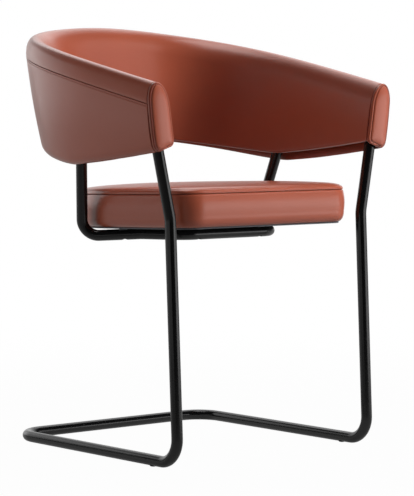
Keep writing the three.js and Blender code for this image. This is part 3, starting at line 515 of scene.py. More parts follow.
def inner_leather_path(band):
    """From the fold under the lower edge, up the inside and over the rim to the outside seam."""
    radius = LOWER_BEND_RADIUS
    low = column(band, -band.half + LOWER_FOLD_REACH, band.lift)
    bend = corner_arc(-band.half + radius, band.lift + radius, radius, 1.5 * math.pi, math.pi, 7)
    fold = low + (bend[:, :1] - low) * np.linspace(0, 1, 5)[None, :-1, None]
    shoulder = column(band, -band.half, band.height - ROLL_HEIGHT)
    face = straight(bend[:, -1:], shoulder, 26)
    roll = band.roll(np.linspace(math.pi, SEAM_ANGLE, 160)[1:])
    path = np.concatenate([fold, bend, face, roll], 1)
    up = path[..., 1]
    share = np.clip((up - band.lift[:, None]) / (band.height - ROLL_HEIGHT - band.lift)[:, None], 0, 1)
    path[..., 0] -= INNER_BELLY * np.sin(math.pi * share) * (path[..., 0] < 0)
    return path


def outer_leather_path(band):
    """From the seam down the outside, round the lower edge and up behind it as a hem."""
    top = band.height - ROLL_HEIGHT
    start = band.roll(np.linspace(SEAM_ANGLE - FIT_GAP / ARM_THICKNESS, 0, 12)[:-1])
    share = np.linspace(1, 0, 30)[None]
    up = EDGE_ROUND_HEIGHT + (top[:, None] - EDGE_ROUND_HEIGHT) * share
    face = np.stack([band.outer_out(up), up], -1)
    turn = np.linspace(0, math.pi / 2, 9)[1:]
    up = np.broadcast_to(EDGE_ROUND_HEIGHT * (1 - np.sin(turn)), (len(top), len(turn)))
    edge = np.stack([band.outer_out(up), up], -1)
    hem_out = band.half - BACK_LEATHER - SHELL_DEPTH - BACK_LEATHER
    radius = HEM_FOLD_RADIUS
    fold_up = np.full_like(hem_out, radius)
    fold = corner_arc(hem_out + radius, fold_up, radius, 1.5 * math.pi, math.pi, 4)
    hem = straight(fold[:, -1:], column(band, hem_out, HEM_HEIGHT), 5)
    return np.concatenate([start, face, edge, fold, hem], 1)


def leather_band(name, path_of, seam_at, thickness, material):
    """A leather sheet round the whole band, turned in at its front ends and at its seam, with painted shade
    near both.
    """
    band = Band(band_runs())
    path = path_of(band)
    if seam_at == "start":
        path = resample(path, SEAM_SPACING)
    normal, _ = path_normals(path)
    length = path_length(path)
    to_seam = length if seam_at == "start" else length[:, -1:] - length
    to_front = np.broadcast_to(band.from_front[:, None], to_seam.shape)
    depth = np.maximum(turn_in(to_front, FRONT_TURN), turn_in(to_seam, BACK_SEAM_TURN))
    if seam_at == "start":
        depth = depth + groove(to_seam - STITCH_ROW)
    section = sheet_section(path - normal * depth[..., None], thickness)
    obj = loft(name, band.points(section), material)
    # Painted shade on the face, strongest at the turned front ends and at the seam
    seam_shade = np.zeros(section.shape[:2])
    seam_shade[:, :path.shape[1]] = np.exp(-np.minimum(to_front, to_seam) / SEAM_SHADE_REACH)
    set_marks(obj, "seam", seam_shade)
    return obj


def pad_outline(band, count=96):
    """The arm front's outline as places in the section, even in length."""
    half, height = float(band.half[0]), float(band.height[0])
    arc = lambda o, u, a, b, n: [
        (o + PAD_CORNER * math.cos(t), u + PAD_CORNER * math.sin(t)) for t in np.linspace(a, b, n)
    ]
    line = [tuple(p) for p in band.roll(np.linspace(0, math.pi, 40))[0]]
    line += arc(-half + PAD_CORNER, PAD_LIFT + PAD_CORNER, math.pi, 1.45 * math.pi, 12)
    line += arc(half - PAD_CORNER, PAD_CORNER, 1.55 * math.pi, 2 * math.pi, 12)
    ups = np.linspace(PAD_CORNER, height - ROLL_HEIGHT, 14)[1:-1]
    line += [(half + OUTER_BULGE / 2 * math.sin(math.pi * u / (height - ROLL_HEIGHT)), u) for u in ups]
    line = np.array(line + line[:1])
    length = np.concatenate([[0], np.cumsum(np.linalg.norm(np.diff(line, axis=0), axis=1))])
    even = np.linspace(0, length[-1], count + 1)[:-1]
    return np.stack([np.interp(even, length, line[:, k]) for k in (0, 1)], 1)


def pad_section(band):
    """An arm pad's outline, and the way in from it and how far, towards its spine."""
    outline = pad_outline(band)
    half, height = float(band.half[0]), float(band.height[0])
    spine = np.stack([np.zeros(len(outline)), np.clip(outline[:, 1], half + 4, height - half - 2)], 1)
    reach = np.linalg.norm(spine - outline, axis=1, keepdims=True)
    return outline, spine, (spine - outline) / reach


def pad_ring(band, inset, forward):
    """The arm pad's outline drawn in by an inset, at a distance in front of the band."""
    outline, _, inward = pad_section(band)
    points = band.points((outline + inward * inset)[None])[0]
    points[:, 1] = -BAND_FRONT - forward
    return points


def pad_rings(band):
    """Rings of an arm pad, from its hidden back round its edge to the crowned front."""
    outline, spine, _ = pad_section(band)
    base, radius = PAD_WALL, PAD_ROUND
    steps = [*PAD_BACK_STEPS, (0, base)]
    steps += [
        (radius * (1 - math.cos(t)), base + radius * math.sin(t))
        for t in np.linspace(0, math.pi / 2, 7)[1:]
    ]
    edge = base + radius
    for inset in PAD_VALLEY_INSETS:
        rise = (PAD_DEPTH - edge) * PAD_SLOPE * (inset - radius)
        valley = PAD_VALLEY * math.exp(-((inset - PAD_ROW) / PAD_VALLEY_WIDTH) ** 2)
        steps.append((inset, edge + rise - valley))
    last = steps[-1][1]
    rings = [pad_ring(band, inset, forward) for inset, forward in steps]
    for share in PAD_CROWN_SHARES:
        rise = (PAD_DEPTH - last) * (1 - (share / PAD_CROWN_SHARE) ** PAD_CROWN_POWER)
        points = band.points((spine + (outline - spine) * share)[None])[0]
        points[:, 1] = -BAND_FRONT - last - rise
        rings.append(points)
    return rings


# Thread

def stitches(name, places, ups, step, material, closed=False):
    """One short sunk stitch after another along a line of places, each a closed spindle of thread."""
    places, ups = np.asarray(places, float), np.asarray(ups, float)
    if closed:
        places, ups = np.concatenate([places, places[:1]]), np.concatenate([ups, ups[:1]])
    length = np.concatenate([[0], np.cumsum(np.linalg.norm(np.diff(places, axis=0), axis=1))])
    count = int(length[-1] / step)
    middles = (np.arange(count) + 0.5) * length[-1] / count
    at = lambda table, where: np.stack([np.interp(where, length, table[:, k]) for k in range(3)], 1)
    along = at(places, np.minimum(middles + 0.5, length[-1])) - at(places, np.maximum(middles - 0.5, 0))
    along /= np.linalg.norm(along, axis=1, keepdims=True)
    up = at(ups, middles)
    up -= along * np.sum(up * along, axis=1, keepdims=True)
    up /= np.linalg.norm(up, axis=1, keepdims=True)
    across = np.cross(along, up)
    sides, reach, thick = THREAD_SIDES, step * THREAD_REACH, THREAD_RADIUS
    local, faces = [], []
    for run, wide in THREAD_SHAPE:
        dip = -THREAD_DIP * abs(run) ** 3
        turns = [0.0] if wide == 0 else [2 * math.pi * k / sides for k in range(sides)]
        local += [(run * reach, wide * thick * math.cos(t), wide * thick * math.sin(t) + dip) for t in turns]
    last = len(local) - 1
    for k in range(sides):
        after = (k + 1) % sides
        faces.append((0, 1 + after, 1 + k))
        for start in range(1, last - sides, sides):
            ahead = start + sides
            faces.append((start + k, start + after, ahead + after, ahead + k))
        faces.append((last, last - sides + k, last - sides + after))
    local = np.array(local)
    points = at(places, middles)[:, None] + (
        local[None, :, :1] * along[:, None] + local[None, :, 1:2] * across[:, None]
        + local[None, :, 2:] * up[:, None]
    )
    every = [tuple(i + n * len(local) for i in face) for n in range(count) for face in faces]
    return new_object(name, points.reshape(-1, 3), every, material)


# Steel tube

def tube_stations(corners, radii, step=4.0):
    """Places and directions along a bent tube: close in the bends, one at each end of a straight."""
    corners = [Vector(c) for c in corners]
    places = [(corners[0], (corners[1] - corners[0]).normalized())]
    for before, corner, after, radius in zip(corners, corners[1:], corners[2:], radii):
        arrive, leave = (corner - before).normalized(), (after - corner).normalized()
        turn = arrive.angle(leave)
        start = corner - arrive * radius * math.tan(turn / 2)
        inward = (leave - arrive * leave.dot(arrive)).normalized()
        steps = max(4, int(turn / math.radians(step)))
        for k in range(steps + 1):
            a = turn * k / steps
            point = start + inward * radius * (1 - math.cos(a)) + arrive * radius * math.sin(a)
            places.append((point, arrive * math.cos(a) + inward * math.sin(a)))
    places.append((corners[-1], (corners[-1] - corners[-2]).normalized()))
    return places


def split_straights(places, longest=30.0):
    """Adds places along the straights, so that no quad is very long."""
    full = [places[0]]
    for (start, _), (end, way) in zip(places, places[1:]):
        count = max(1, int((end - start).length / longest))
        full += [(start.lerp(end, k / count), way) for k in range(1, count + 1)]
    return full


def tube_rings(places, radius, sides):
    """Rings round a tube's places, carried along without a twist."""
    across = places[0][1].orthogonal().normalized()
    rings = []
    for point, way in places:
        across = (across - way * across.dot(way)).normalized()
        up = way.cross(across)
        angles = [2 * math.pi * k / sides for k in range(sides)]
        rings.append([point + (across * math.cos(a) + up * math.sin(a)) * radius for a in angles])
    return np.array(rings)


def bent_tube(name, half_route, half_radii, diameter, material):
    """A hollow tube that runs along half a route and back along its mirror image."""
    mirrored = [(-x, y, z) for x, y, z in half_route[::-1]]
    places = split_straights(tube_stations(half_route + mirrored, half_radii + half_radii[::-1]))
    outside = tube_rings(places, diameter / 2, TUBE_SIDES)
    inside = tube_rings(places, diameter / 2 - TUBE_WALL, TUBE_SIDES)[::-1]
    rings = np.concatenate([outside, inside])
    obj = loft(name, rings, material, closed_run=True)
    sharpen(obj)
    return obj


def turned(name, profile, at, up, material, sides=48):
    """A piece turned on a lathe from radius and height, closed where the radius is zero."""
    turn = Vector((0, 0, 1)).rotation_difference(Vector(up)).to_matrix()
    points, faces, starts = [], [], []
    for radius, height in profile:
        count = 1 if radius == 0 else sides
        starts.append((len(points), count))
        for k in range(count):
            a = 2 * math.pi * k / sides
            spot = Vector((radius * math.cos(a), radius * math.sin(a), height))
            points.append(tuple(Vector(at) + turn @ spot))
    for (a, m), (b, n) in zip(starts, starts[1:]):
        for k in range(sides):
            j = (k + 1) % sides
            face = [a + k % m, a + j % m, b + j % n, b + k % n]
            faces.append(tuple(dict.fromkeys(face)))
    obj = new_object(name, points, faces, material)
    if material:
        sharpen(obj)
    return obj


def nodes_named(start):
    """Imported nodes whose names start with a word."""
    found = [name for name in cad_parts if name.startswith(start)]
    if not found:
        raise RuntimeError(f"no packed node starts with {start}")
    return found


def glide_place(node):
    """Where a floor glide stands, across and along the chair."""
    low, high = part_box(node)
    return (low.x + high.x) / 2 / MM, (low.y + high.y) / 2 / MM + FORE_AFT


def screw_place(node):
    """The middle of a packed seat screw, in the chair's own frame."""
    low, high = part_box(node)
    return (low + high) / 2 / MM + Vector((0, FORE_AFT, 0))


def screw_way():
    """The way that the seat screws point, square to the pitched seat."""
    return Vector((0, math.sin(SEAT_PITCH), math.cos(SEAT_PITCH)))


def rod(at, up, radius, reach):
    """A plain round rod from a place, for cutting and joining."""
    return turned("cutter", [(0, 0), (radius, 0), (radius, reach), (0, reach)], at, up, None)


# Seat

def seat_outline():
    """Points round the seat, the way out from each, and how far each lies from a rear side seam."""
    side, radius, front = SEAT_HALF_WIDTH, SEAT_CORNER, SEAT_FRONT
    arc = lambda x, y, a, b: [
        (x + radius * math.cos(t), y + radius * math.sin(t)) for t in np.linspace(a, b, 200)
    ]
    line = [(0.0, -front)] + arc(side - radius, -front + radius, -math.pi / 2, 0)
    power, rear_steps = 2 / SEAT_REAR_SQUARENESS, 4801
    for t in np.linspace(0, math.pi, rear_steps):
        across, back = math.copysign(abs(math.cos(t)) ** power, math.cos(t)), max(math.sin(t), 0) ** power
        line.append((side * across, SEAT_STRAIGHT_BACK + SEAT_REAR_DEPTH * back))
    line += arc(-side + radius, -front + radius, math.pi, 1.5 * math.pi) + [(0.0, -front)]
    line = np.array(line)
    length = np.concatenate([[0], np.cumsum(np.linalg.norm(np.diff(line, axis=0), axis=1))])
    first = line[:len(line) // 2]
    off_side = 1e3 * (first[:, 0] < side / 2)
    seam = length[np.argmin(np.abs(first[:, 1] - SEAT_REAR_SEAM) + off_side)]
    close = np.array(REAR_SEAM_SPACING)
    seams = np.array([seam, length[-1] - seam])
    even = np.linspace(0, length[-1], 241)[:-1]
    even = even[np.abs(even[:, None] - seams).min(axis=1) > 6]
    at = np.sort(np.concatenate([even, seams[0] + close, seams[1] + close]))
    points = np.stack([np.interp(at, length, line[:, k]) for k in (0, 1)], 1)
    ahead, behind = (np.stack([np.interp((at + d) % length[-1], length, line[:, k]) for k in (0, 1)], 1)
                     for d in (0.5, -0.5))
    way = ahead - behind
    way /= np.linalg.norm(way, axis=1, keepdims=True)
    return points, np.stack([way[:, 1], -way[:, 0]], 1), np.abs(at[:, None] - seams).min(axis=1)


OUTLINE, OUTWARD, TO_REAR_SEAM = seat_outline()


def seat_ring(inset, height):
    """The seat's outline drawn in by an inset, at a height over its underside."""
    flat = OUTLINE - OUTWARD * (np.asarray(inset, float) * np.ones(len(OUTLINE)))[:, None]
    return np.column_stack([flat, np.full(len(flat), float(height))])


def crown_ring(share, inset, height):
    """A ring of the crowned top: a share of the way out from the middle."""
    roll = SEAT_ROLL * math.sqrt(1 - share ** SEAT_ROLL_POWER)
    crown = roll + SEAT_DOME * (1 - share ** SEAT_DOME_POWER)
    ring = seat_ring(inset, height + crown)
    middle = np.array([0, SEAT_MIDDLE, ring[0, 2]])
    return middle + (ring - middle) * share


def to_chair(points):
    """From the seat's own frame to the chair's, pitched up at the front."""
    points = np.asarray(points, float)
    c, s = math.cos(SEAT_PITCH), math.sin(SEAT_PITCH)
    y, z = points[..., 1], points[..., 2]
    return np.stack([points[..., 0], y * c + z * s, SEAT_UNDERSIDE - y * s + z * c], -1)


def seat_side_profile():
    """Inset and height from the fold-under, round the lower edge and up to the top seam."""
    wide, high = SEAT_EDGE_WIDTH, SEAT_EDGE_HEIGHT
    under = [(inset, 0.0) for inset in np.linspace(FLANGE_WIDTH, wide, 4)[:-1]]
    edge = [(wide - wide * math.sin(t), high - high * math.cos(t)) for t in np.linspace(0, math.pi / 2, 12)]
    top = SEAM_HEIGHT - SEAT_LEATHER - FIT_GAP
    face = []
    for share in np.linspace(0, 1, 20)[1:]:
        height = high + (top - high) * share
        pull = SEAM_DRAW * share ** 3 + turn_in((1 - share) * (top - high), TOP_SEAM_TURN)
        face.append((pull - SEAT_BULGE * math.sin(math.pi * share), height))
    return np.array(under + edge + face)


# Materials

class Finish:
    """Builds the nodes of one material round a Principled shader."""

    def __init__(self, name, **inputs):
        self.material = bpy.data.materials.new(name)
        self.material.use_nodes = True
        self.tree = self.material.node_tree
        self.tree.nodes.clear()
        self.shader = self.add("ShaderNodeBsdfPrincipled")
        self.give(self.shader, inputs)
        out = self.add("ShaderNodeOutputMaterial")
        self.tree.links.new(self.shader.outputs[0], out.inputs[0])
        self.place = self.add("ShaderNodeTexCoord").outputs["Object"]

    def add(self, kind, **settings):
        node = self.tree.nodes.new(kind)
        for key, value in settings.items():
            setattr(node, key, value)
        return node

    def give(self, node, inputs):
        for key, value in inputs.items():
            socket = node.inputs[key]
            if isinstance(value, bpy.types.NodeSocket):
                self.tree.links.new(value, socket)
            else:
                socket.default_value = value

    def noise(self, scale, detail=2.0, roughness=0.5, distortion=0.0, place=None):
        node = self.add("ShaderNodeTexNoise")
        self.give(node, {
            "Vector": place or self.place, "Scale": scale, "Detail": detail,
            "Roughness": roughness, "Distortion": distortion,
        })
        return node.outputs["Fac"]

    def cells(self, scale, feature="F1", place=None):
        node = self.add("ShaderNodeTexVoronoi", feature=feature)
        self.give(node, {"Vector": place or self.place, "Scale": scale})
        return node.outputs["Distance"]

    def math(self, operation, first, second):
        node = self.add("ShaderNodeMath", operation=operation)
        self.give(node, {0: first, 1: second})
        return node.outputs[0]

    def span(self, value, low, high, to_low=0.0, to_high=1.0):
        node = self.add("ShaderNodeMapRange", interpolation_type="SMOOTHSTEP")
        self.give(node, {
            "Value": value, "From Min": low, "From Max": high, "To Min": to_low, "To Max": to_high,
        })
        return node.outputs[0]

    def mix(self, share, first, second):
        node = self.add("ShaderNodeMix", data_type="RGBA")
        self.give(node, {0: share, 6: first, 7: second})
        return node.outputs[2]

    def bent_place(self, scale, reach):
        """The place on the object, pushed about a little so that no pattern runs straight."""
        node = self.add("ShaderNodeTexNoise")
        self.give(node, {"Vector": self.place, "Scale": scale, "Detail": 1.0})
        push = self.add("ShaderNodeVectorMath", operation="MULTIPLY_ADD")
        self.give(push, {0: node.outputs["Color"], 1: (reach, reach, reach), 2: self.place})
        return push.outputs[0]

    def stretched(self, scale):
        node = self.add("ShaderNodeMapping")
        self.give(node, {"Vector": self.place, "Scale": scale})
        return node.outputs[0]

    def mark(self, name):
        return self.add("ShaderNodeAttribute", attribute_name=name).outputs["Fac"]

    def bump(self, height, distance, strength=1.0, normal=None):
        node = self.add("ShaderNodeBump")
        self.give(node, {"Height": height, "Distance": distance, "Strength": strength})
        if normal:
            self.give(node, {"Normal": normal})
        return node.outputs[0]


def leather_finish(name, colour, grain, roughness=0.29):
    """Corrected grain leather: fine cells and pores, soft creases, and painted shade along the seams."""
    f = Finish(name, **{"Specular IOR Level": 0.6})
    base = (*colour[:3], 1.0)
    darker = (*(c * 0.96 for c in colour[:3]), 1.0)
    # seam: a dark red for the painted shade in the seam valleys, also a slight tint in the grain's cell edges
    seam = (colour[0] * 0.4, colour[1] * 0.2, colour[2] * 0.18, 1.0)
    place = f.bent_place(420.0, 0.0009)
    crease = f.cells(1 / grain, "DISTANCE_TO_EDGE", place)
    pebble = f.cells(1 / grain, "F1", place)
    pores = f.noise(2.6 / grain, 2.0, 0.6)
    patches = f.noise(7.0, 4.0, 0.55)
    streaks = f.noise(60.0, 3.0, 0.6, place=f.stretched((1.0, 1.0, 0.35)))
    tone = f.mix(f.span(patches, 0.35, 0.68), darker, base)
    tone = f.mix(f.span(streaks, 0.4, 0.9, 0.0, 0.4), tone, darker)
    # A touch darker in the grain's cell edges
    tone = f.mix(f.span(crease, 0.0, 0.12, 0.08, 0.0), tone, seam)
    # Painted shade along the seams: the attribute seam marks the points near a seam or a turned edge
    tone = f.mix(f.span(f.mark("seam"), 0.2, 1.0, 0.0, 0.7), tone, seam)
    soft = f.noise(26.0, 3.0, 0.5)
    skin = f.math("ADD", f.math("MULTIPLY", f.span(crease, 0.0, 0.2), 0.6), f.math("MULTIPLY", pores, 0.4))
    skin = f.math("SUBTRACT", skin, f.math("MULTIPLY", pebble, 0.25))
    first = f.bump(soft, 0.0001, 0.4)
    normal = f.bump(skin, 0.00005, 0.45, first)
    rough = f.span(f.noise(34.0, 2.0, 0.5), 0.2, 0.8, roughness - 0.015, roughness + 0.015)
    f.give(f.shader, {"Base Color": tone, "Roughness": rough, "Normal": normal})
    return f.material


def thread_finish(colour):
    """Twisted sewing thread."""
    f = Finish("thread", **{"Specular IOR Level": 0.3, "Roughness": 0.7})
    twist = f.add("ShaderNodeTexWave", wave_type="BANDS", bands_direction="DIAGONAL")
    f.give(twist, {"Vector": f.place, "Scale": 2200.0, "Distortion": 1.5})
    darker = (*(c * 0.55 for c in colour[:3]), 1.0)
    tone = f.mix(twist.outputs["Fac"], darker, (*colour[:3], 1.0))
    f.give(f.shader, {"Base Color": tone, "Normal": f.bump(twist.outputs["Fac"], 0.0001, 0.6)})
    return f.material


def tube_finish(colour):
    """Black powder coat: a fine orange peel, a little dust in its tone, worn smoother in places."""
    f = Finish("black_powder_coat", **{"Specular IOR Level": 0.5})
    peel = f.noise(620.0, 2.0, 0.5)
    specks = f.noise(2400.0, 1.0, 0.5)
    dust = f.noise(18.0, 4.0, 0.6)
    lighter = (*(c * 1.6 + 0.001 for c in colour[:3]), 1.0)
    tone = f.mix(f.span(dust, 0.4, 0.75, 0.0, 0.5), (*colour[:3], 1.0), lighter)
    rough = f.math("ADD", f.span(dust, 0.3, 0.7, 0.15, 0.2), f.math("MULTIPLY", specks, 0.03))
    normal = f.bump(peel, 0.00001, 0.3)
    f.give(f.shader, {"Base Color": tone, "Roughness": rough, "Normal": normal})
    return f.material


def cloth_finish():
    """Black spun lining with crossed fibres."""
    f = Finish("black_lining", **{"Specular IOR Level": 0.2, "Roughness": 0.95, "Sheen Weight": 0.15})
    one = f.noise(900.0, 2.0, 0.6, place=f.stretched((1.0, 0.12, 1.0)))
    two = f.noise(900.0, 2.0, 0.6, place=f.stretched((0.12, 1.0, 1.0)))
    weave = f.math("MAXIMUM", one, two)
    tone = f.mix(f.span(weave, 0.45, 0.75), linear("#0c0c0d"), linear("#242426"))
    f.give(f.shader, {"Base Color": tone, "Normal": f.bump(weave, 0.0002, 0.7)})
    return f.material


def nylon_finish():
    """Moulded black nylon with faint flow marks."""
    f = Finish("black_nylon", **{"Specular IOR Level": 0.45})
    flow = f.noise(220.0, 3.0, 0.6, 0.4)
    tone = f.mix(f.span(flow, 0.35, 0.7), linear("#111112"), linear("#1f1f21"))
    rough = f.span(flow, 0.3, 0.7, 0.42, 0.58)
    f.give(f.shader, {"Base Color": tone, "Roughness": rough, "Normal": f.bump(flow, 0.00008, 0.5)})
    return f.material


def steel_finish():
    """Bare steel with drawing marks along it and a bloom of dull grey."""
    f = Finish("bare_steel", **{"Metallic": 1.0})
    drawn = f.noise(500.0, 3.0, 0.6, place=f.stretched((1.0, 0.05, 1.0)))
    bloom = f.noise(30.0, 4.0, 0.6)
    tone = f.mix(f.span(bloom, 0.35, 0.7), linear("#6f7276"), linear("#a9abad"))
    rough = f.math("ADD", f.span(bloom, 0.3, 0.7, 0.25, 0.42), f.math("MULTIPLY", drawn, 0.1))
    f.give(f.shader, {"Base Color": tone, "Roughness": rough, "Normal": f.bump(drawn, 0.00005, 0.4)})
    return f.material


def plywood_finish():
    """Birch plywood: long grain on the faces and thin darker plies."""
    f = Finish("birch_plywood", **{"Specular IOR Level": 0.35})
    grain = f.noise(60.0, 6.0, 0.65, 0.6, f.stretched((0.12, 1.0, 0.5)))
    plies = f.add("ShaderNodeTexWave", wave_type="BANDS", bands_direction="Z")
    f.give(plies, {"Vector": f.place, "Scale": 330.0, "Distortion": 1.2, "Detail": 2.0})
    tone = f.mix(f.span(grain, 0.35, 0.7), linear("#b98d5a"), linear("#d8b788"))
    tone = f.mix(f.span(plies.outputs["Fac"], 0.6, 0.9, 0.0, 0.35), tone, linear("#8a6238"))
    f.give(f.shader, {"Base Color": tone, "Roughness": f.span(grain, 0.3, 0.7, 0.55, 0.75),
                      "Normal": f.bump(grain, 0.0002, 0.5)})
    return f.material


def foam_finish():
    """Moulded foam with open cells, with painted shade in the cells."""
    f = Finish("seat_foam", **{"Specular IOR Level": 0.2, "Roughness": 0.95, "Subsurface Weight": 0.05})
    holes = f.cells(700.0, "F1")
    tint = f.noise(12.0, 3.0, 0.5)
    tone = f.mix(f.span(tint, 0.35, 0.7), linear("#cdbf98"), linear("#e2d8b8"))
    # Painted shade in the open cells: a darker foam colour towards each cell's middle
    tone = f.mix(f.span(holes, 0.0, 0.35, 0.5, 0.0), tone, linear("#8d8060"))
    f.give(f.shader, {"Base Color": tone, "Normal": f.bump(holes, 0.0004, 0.8)})
    return f.material


def finish(name):
    """A material by its plain name, made when it is first asked for."""
    if name in bpy.data.materials:
        return bpy.data.materials[name]
    colours = bpy.context.scene.chair_colours
    sizes = bpy.context.scene.chair_sizes
    makers = {
        "terracotta_leather": lambda: leather_finish("terracotta_leather", colours.leather, sizes.grain),
        "thread": lambda: thread_finish(colours.thread),
        "black_powder_coat": lambda: tube_finish(colours.tube),
        "black_lining": cloth_finish,
        "black_nylon": nylon_finish,
        "bare_steel": steel_finish,
        "birch_plywood": plywood_finish,
        "seat_foam": foam_finish,
    }
    return makers[name]()


# Sizes and colours that a user would change

class ChairSizes(bpy.types.PropertyGroup):
    tube: bpy.props.FloatProperty(
        name="Tube diameter", description="Outside diameter of the bent steel tube",
        default=0.02, min=0.01, max=0.03, unit="LENGTH")
    leather: bpy.props.FloatProperty(
        name="Leather thickness", description="Thickness of the leather on the back and arms",
        default=0.0014, min=0.0008, max=0.003, unit="LENGTH")
    grain: bpy.props.FloatProperty(
        name="Grain size", description="Width of one cell of the leather's grain",
        default=0.0011, min=0.0004, max=0.004, unit="LENGTH")
    stitch: bpy.props.FloatProperty(
        name="Stitch length", description="Distance from one stitch to the next",
        default=0.0042, min=0.002, max=0.008, unit="LENGTH")


class ChairColours(bpy.types.PropertyGroup):
    leather: bpy.props.FloatVectorProperty(
        name="Leather", description="Colour of the leather", subtype="COLOR", size=4,
        default=linear("#b25a41"), min=0, max=1)
    thread: bpy.props.FloatVectorProperty(
        name="Thread", description="Colour of the sewing thread", subtype="COLOR", size=4,
        default=linear("#8a4634"), min=0, max=1)
    tube: bpy.props.FloatVectorProperty(
        name="Tube", description="Colour of the tube's powder coat", subtype="COLOR", size=4,
        default=linear("#070708"), min=0, max=1)


class ChairStage(bpy.types.PropertyGroup):
    key: bpy.props.FloatProperty(
        name="Key light", description="Power of the large soft light on the sitter's left side",
        default=104.0, min=0, max=400, unit="POWER")
    side: bpy.props.FloatProperty(
        name="Side light", description="Power of the soft light on the sitter's right side",
        default=17.0, min=0, max=400, unit="POWER")
    fill: bpy.props.FloatProperty(
        name="Side panel", description="Power of the wide dim panel on the sitter's right side",
        default=4.2, min=0, max=400, unit="POWER")
    low: bpy.props.FloatProperty(
        name="Low panel", description="Power of the low dim panel under the key light",
        default=12.0, min=0, max=400, unit="POWER")
    back: bpy.props.FloatProperty(
        name="Back light", description="Power of the soft light over and behind the chair",
        default=13.0, min=0, max=400, unit="POWER")
    rear: bpy.props.FloatProperty(
        name="Rear panel",
        description="Power of the panel behind the chair, on the sitter's right side, seen only in gloss",
        default=9.5, min=0, max=400, unit="POWER")
    top: bpy.props.FloatProperty(
        name="Top panel", description="Power of the panel over the chair, seen only in gloss",
        default=18.0, min=0, max=400, unit="POWER")
    sky: bpy.props.FloatProperty(
        name="Room light", description="Strength of the even light from all round",
        default=0.05, min=0, max=2)
    floor: bpy.props.FloatVectorProperty(
        name="Floor", description="Colour of the plain floor", subtype="COLOR", size=4,
        default=linear("#969594"), min=0, max=1)


# Operators

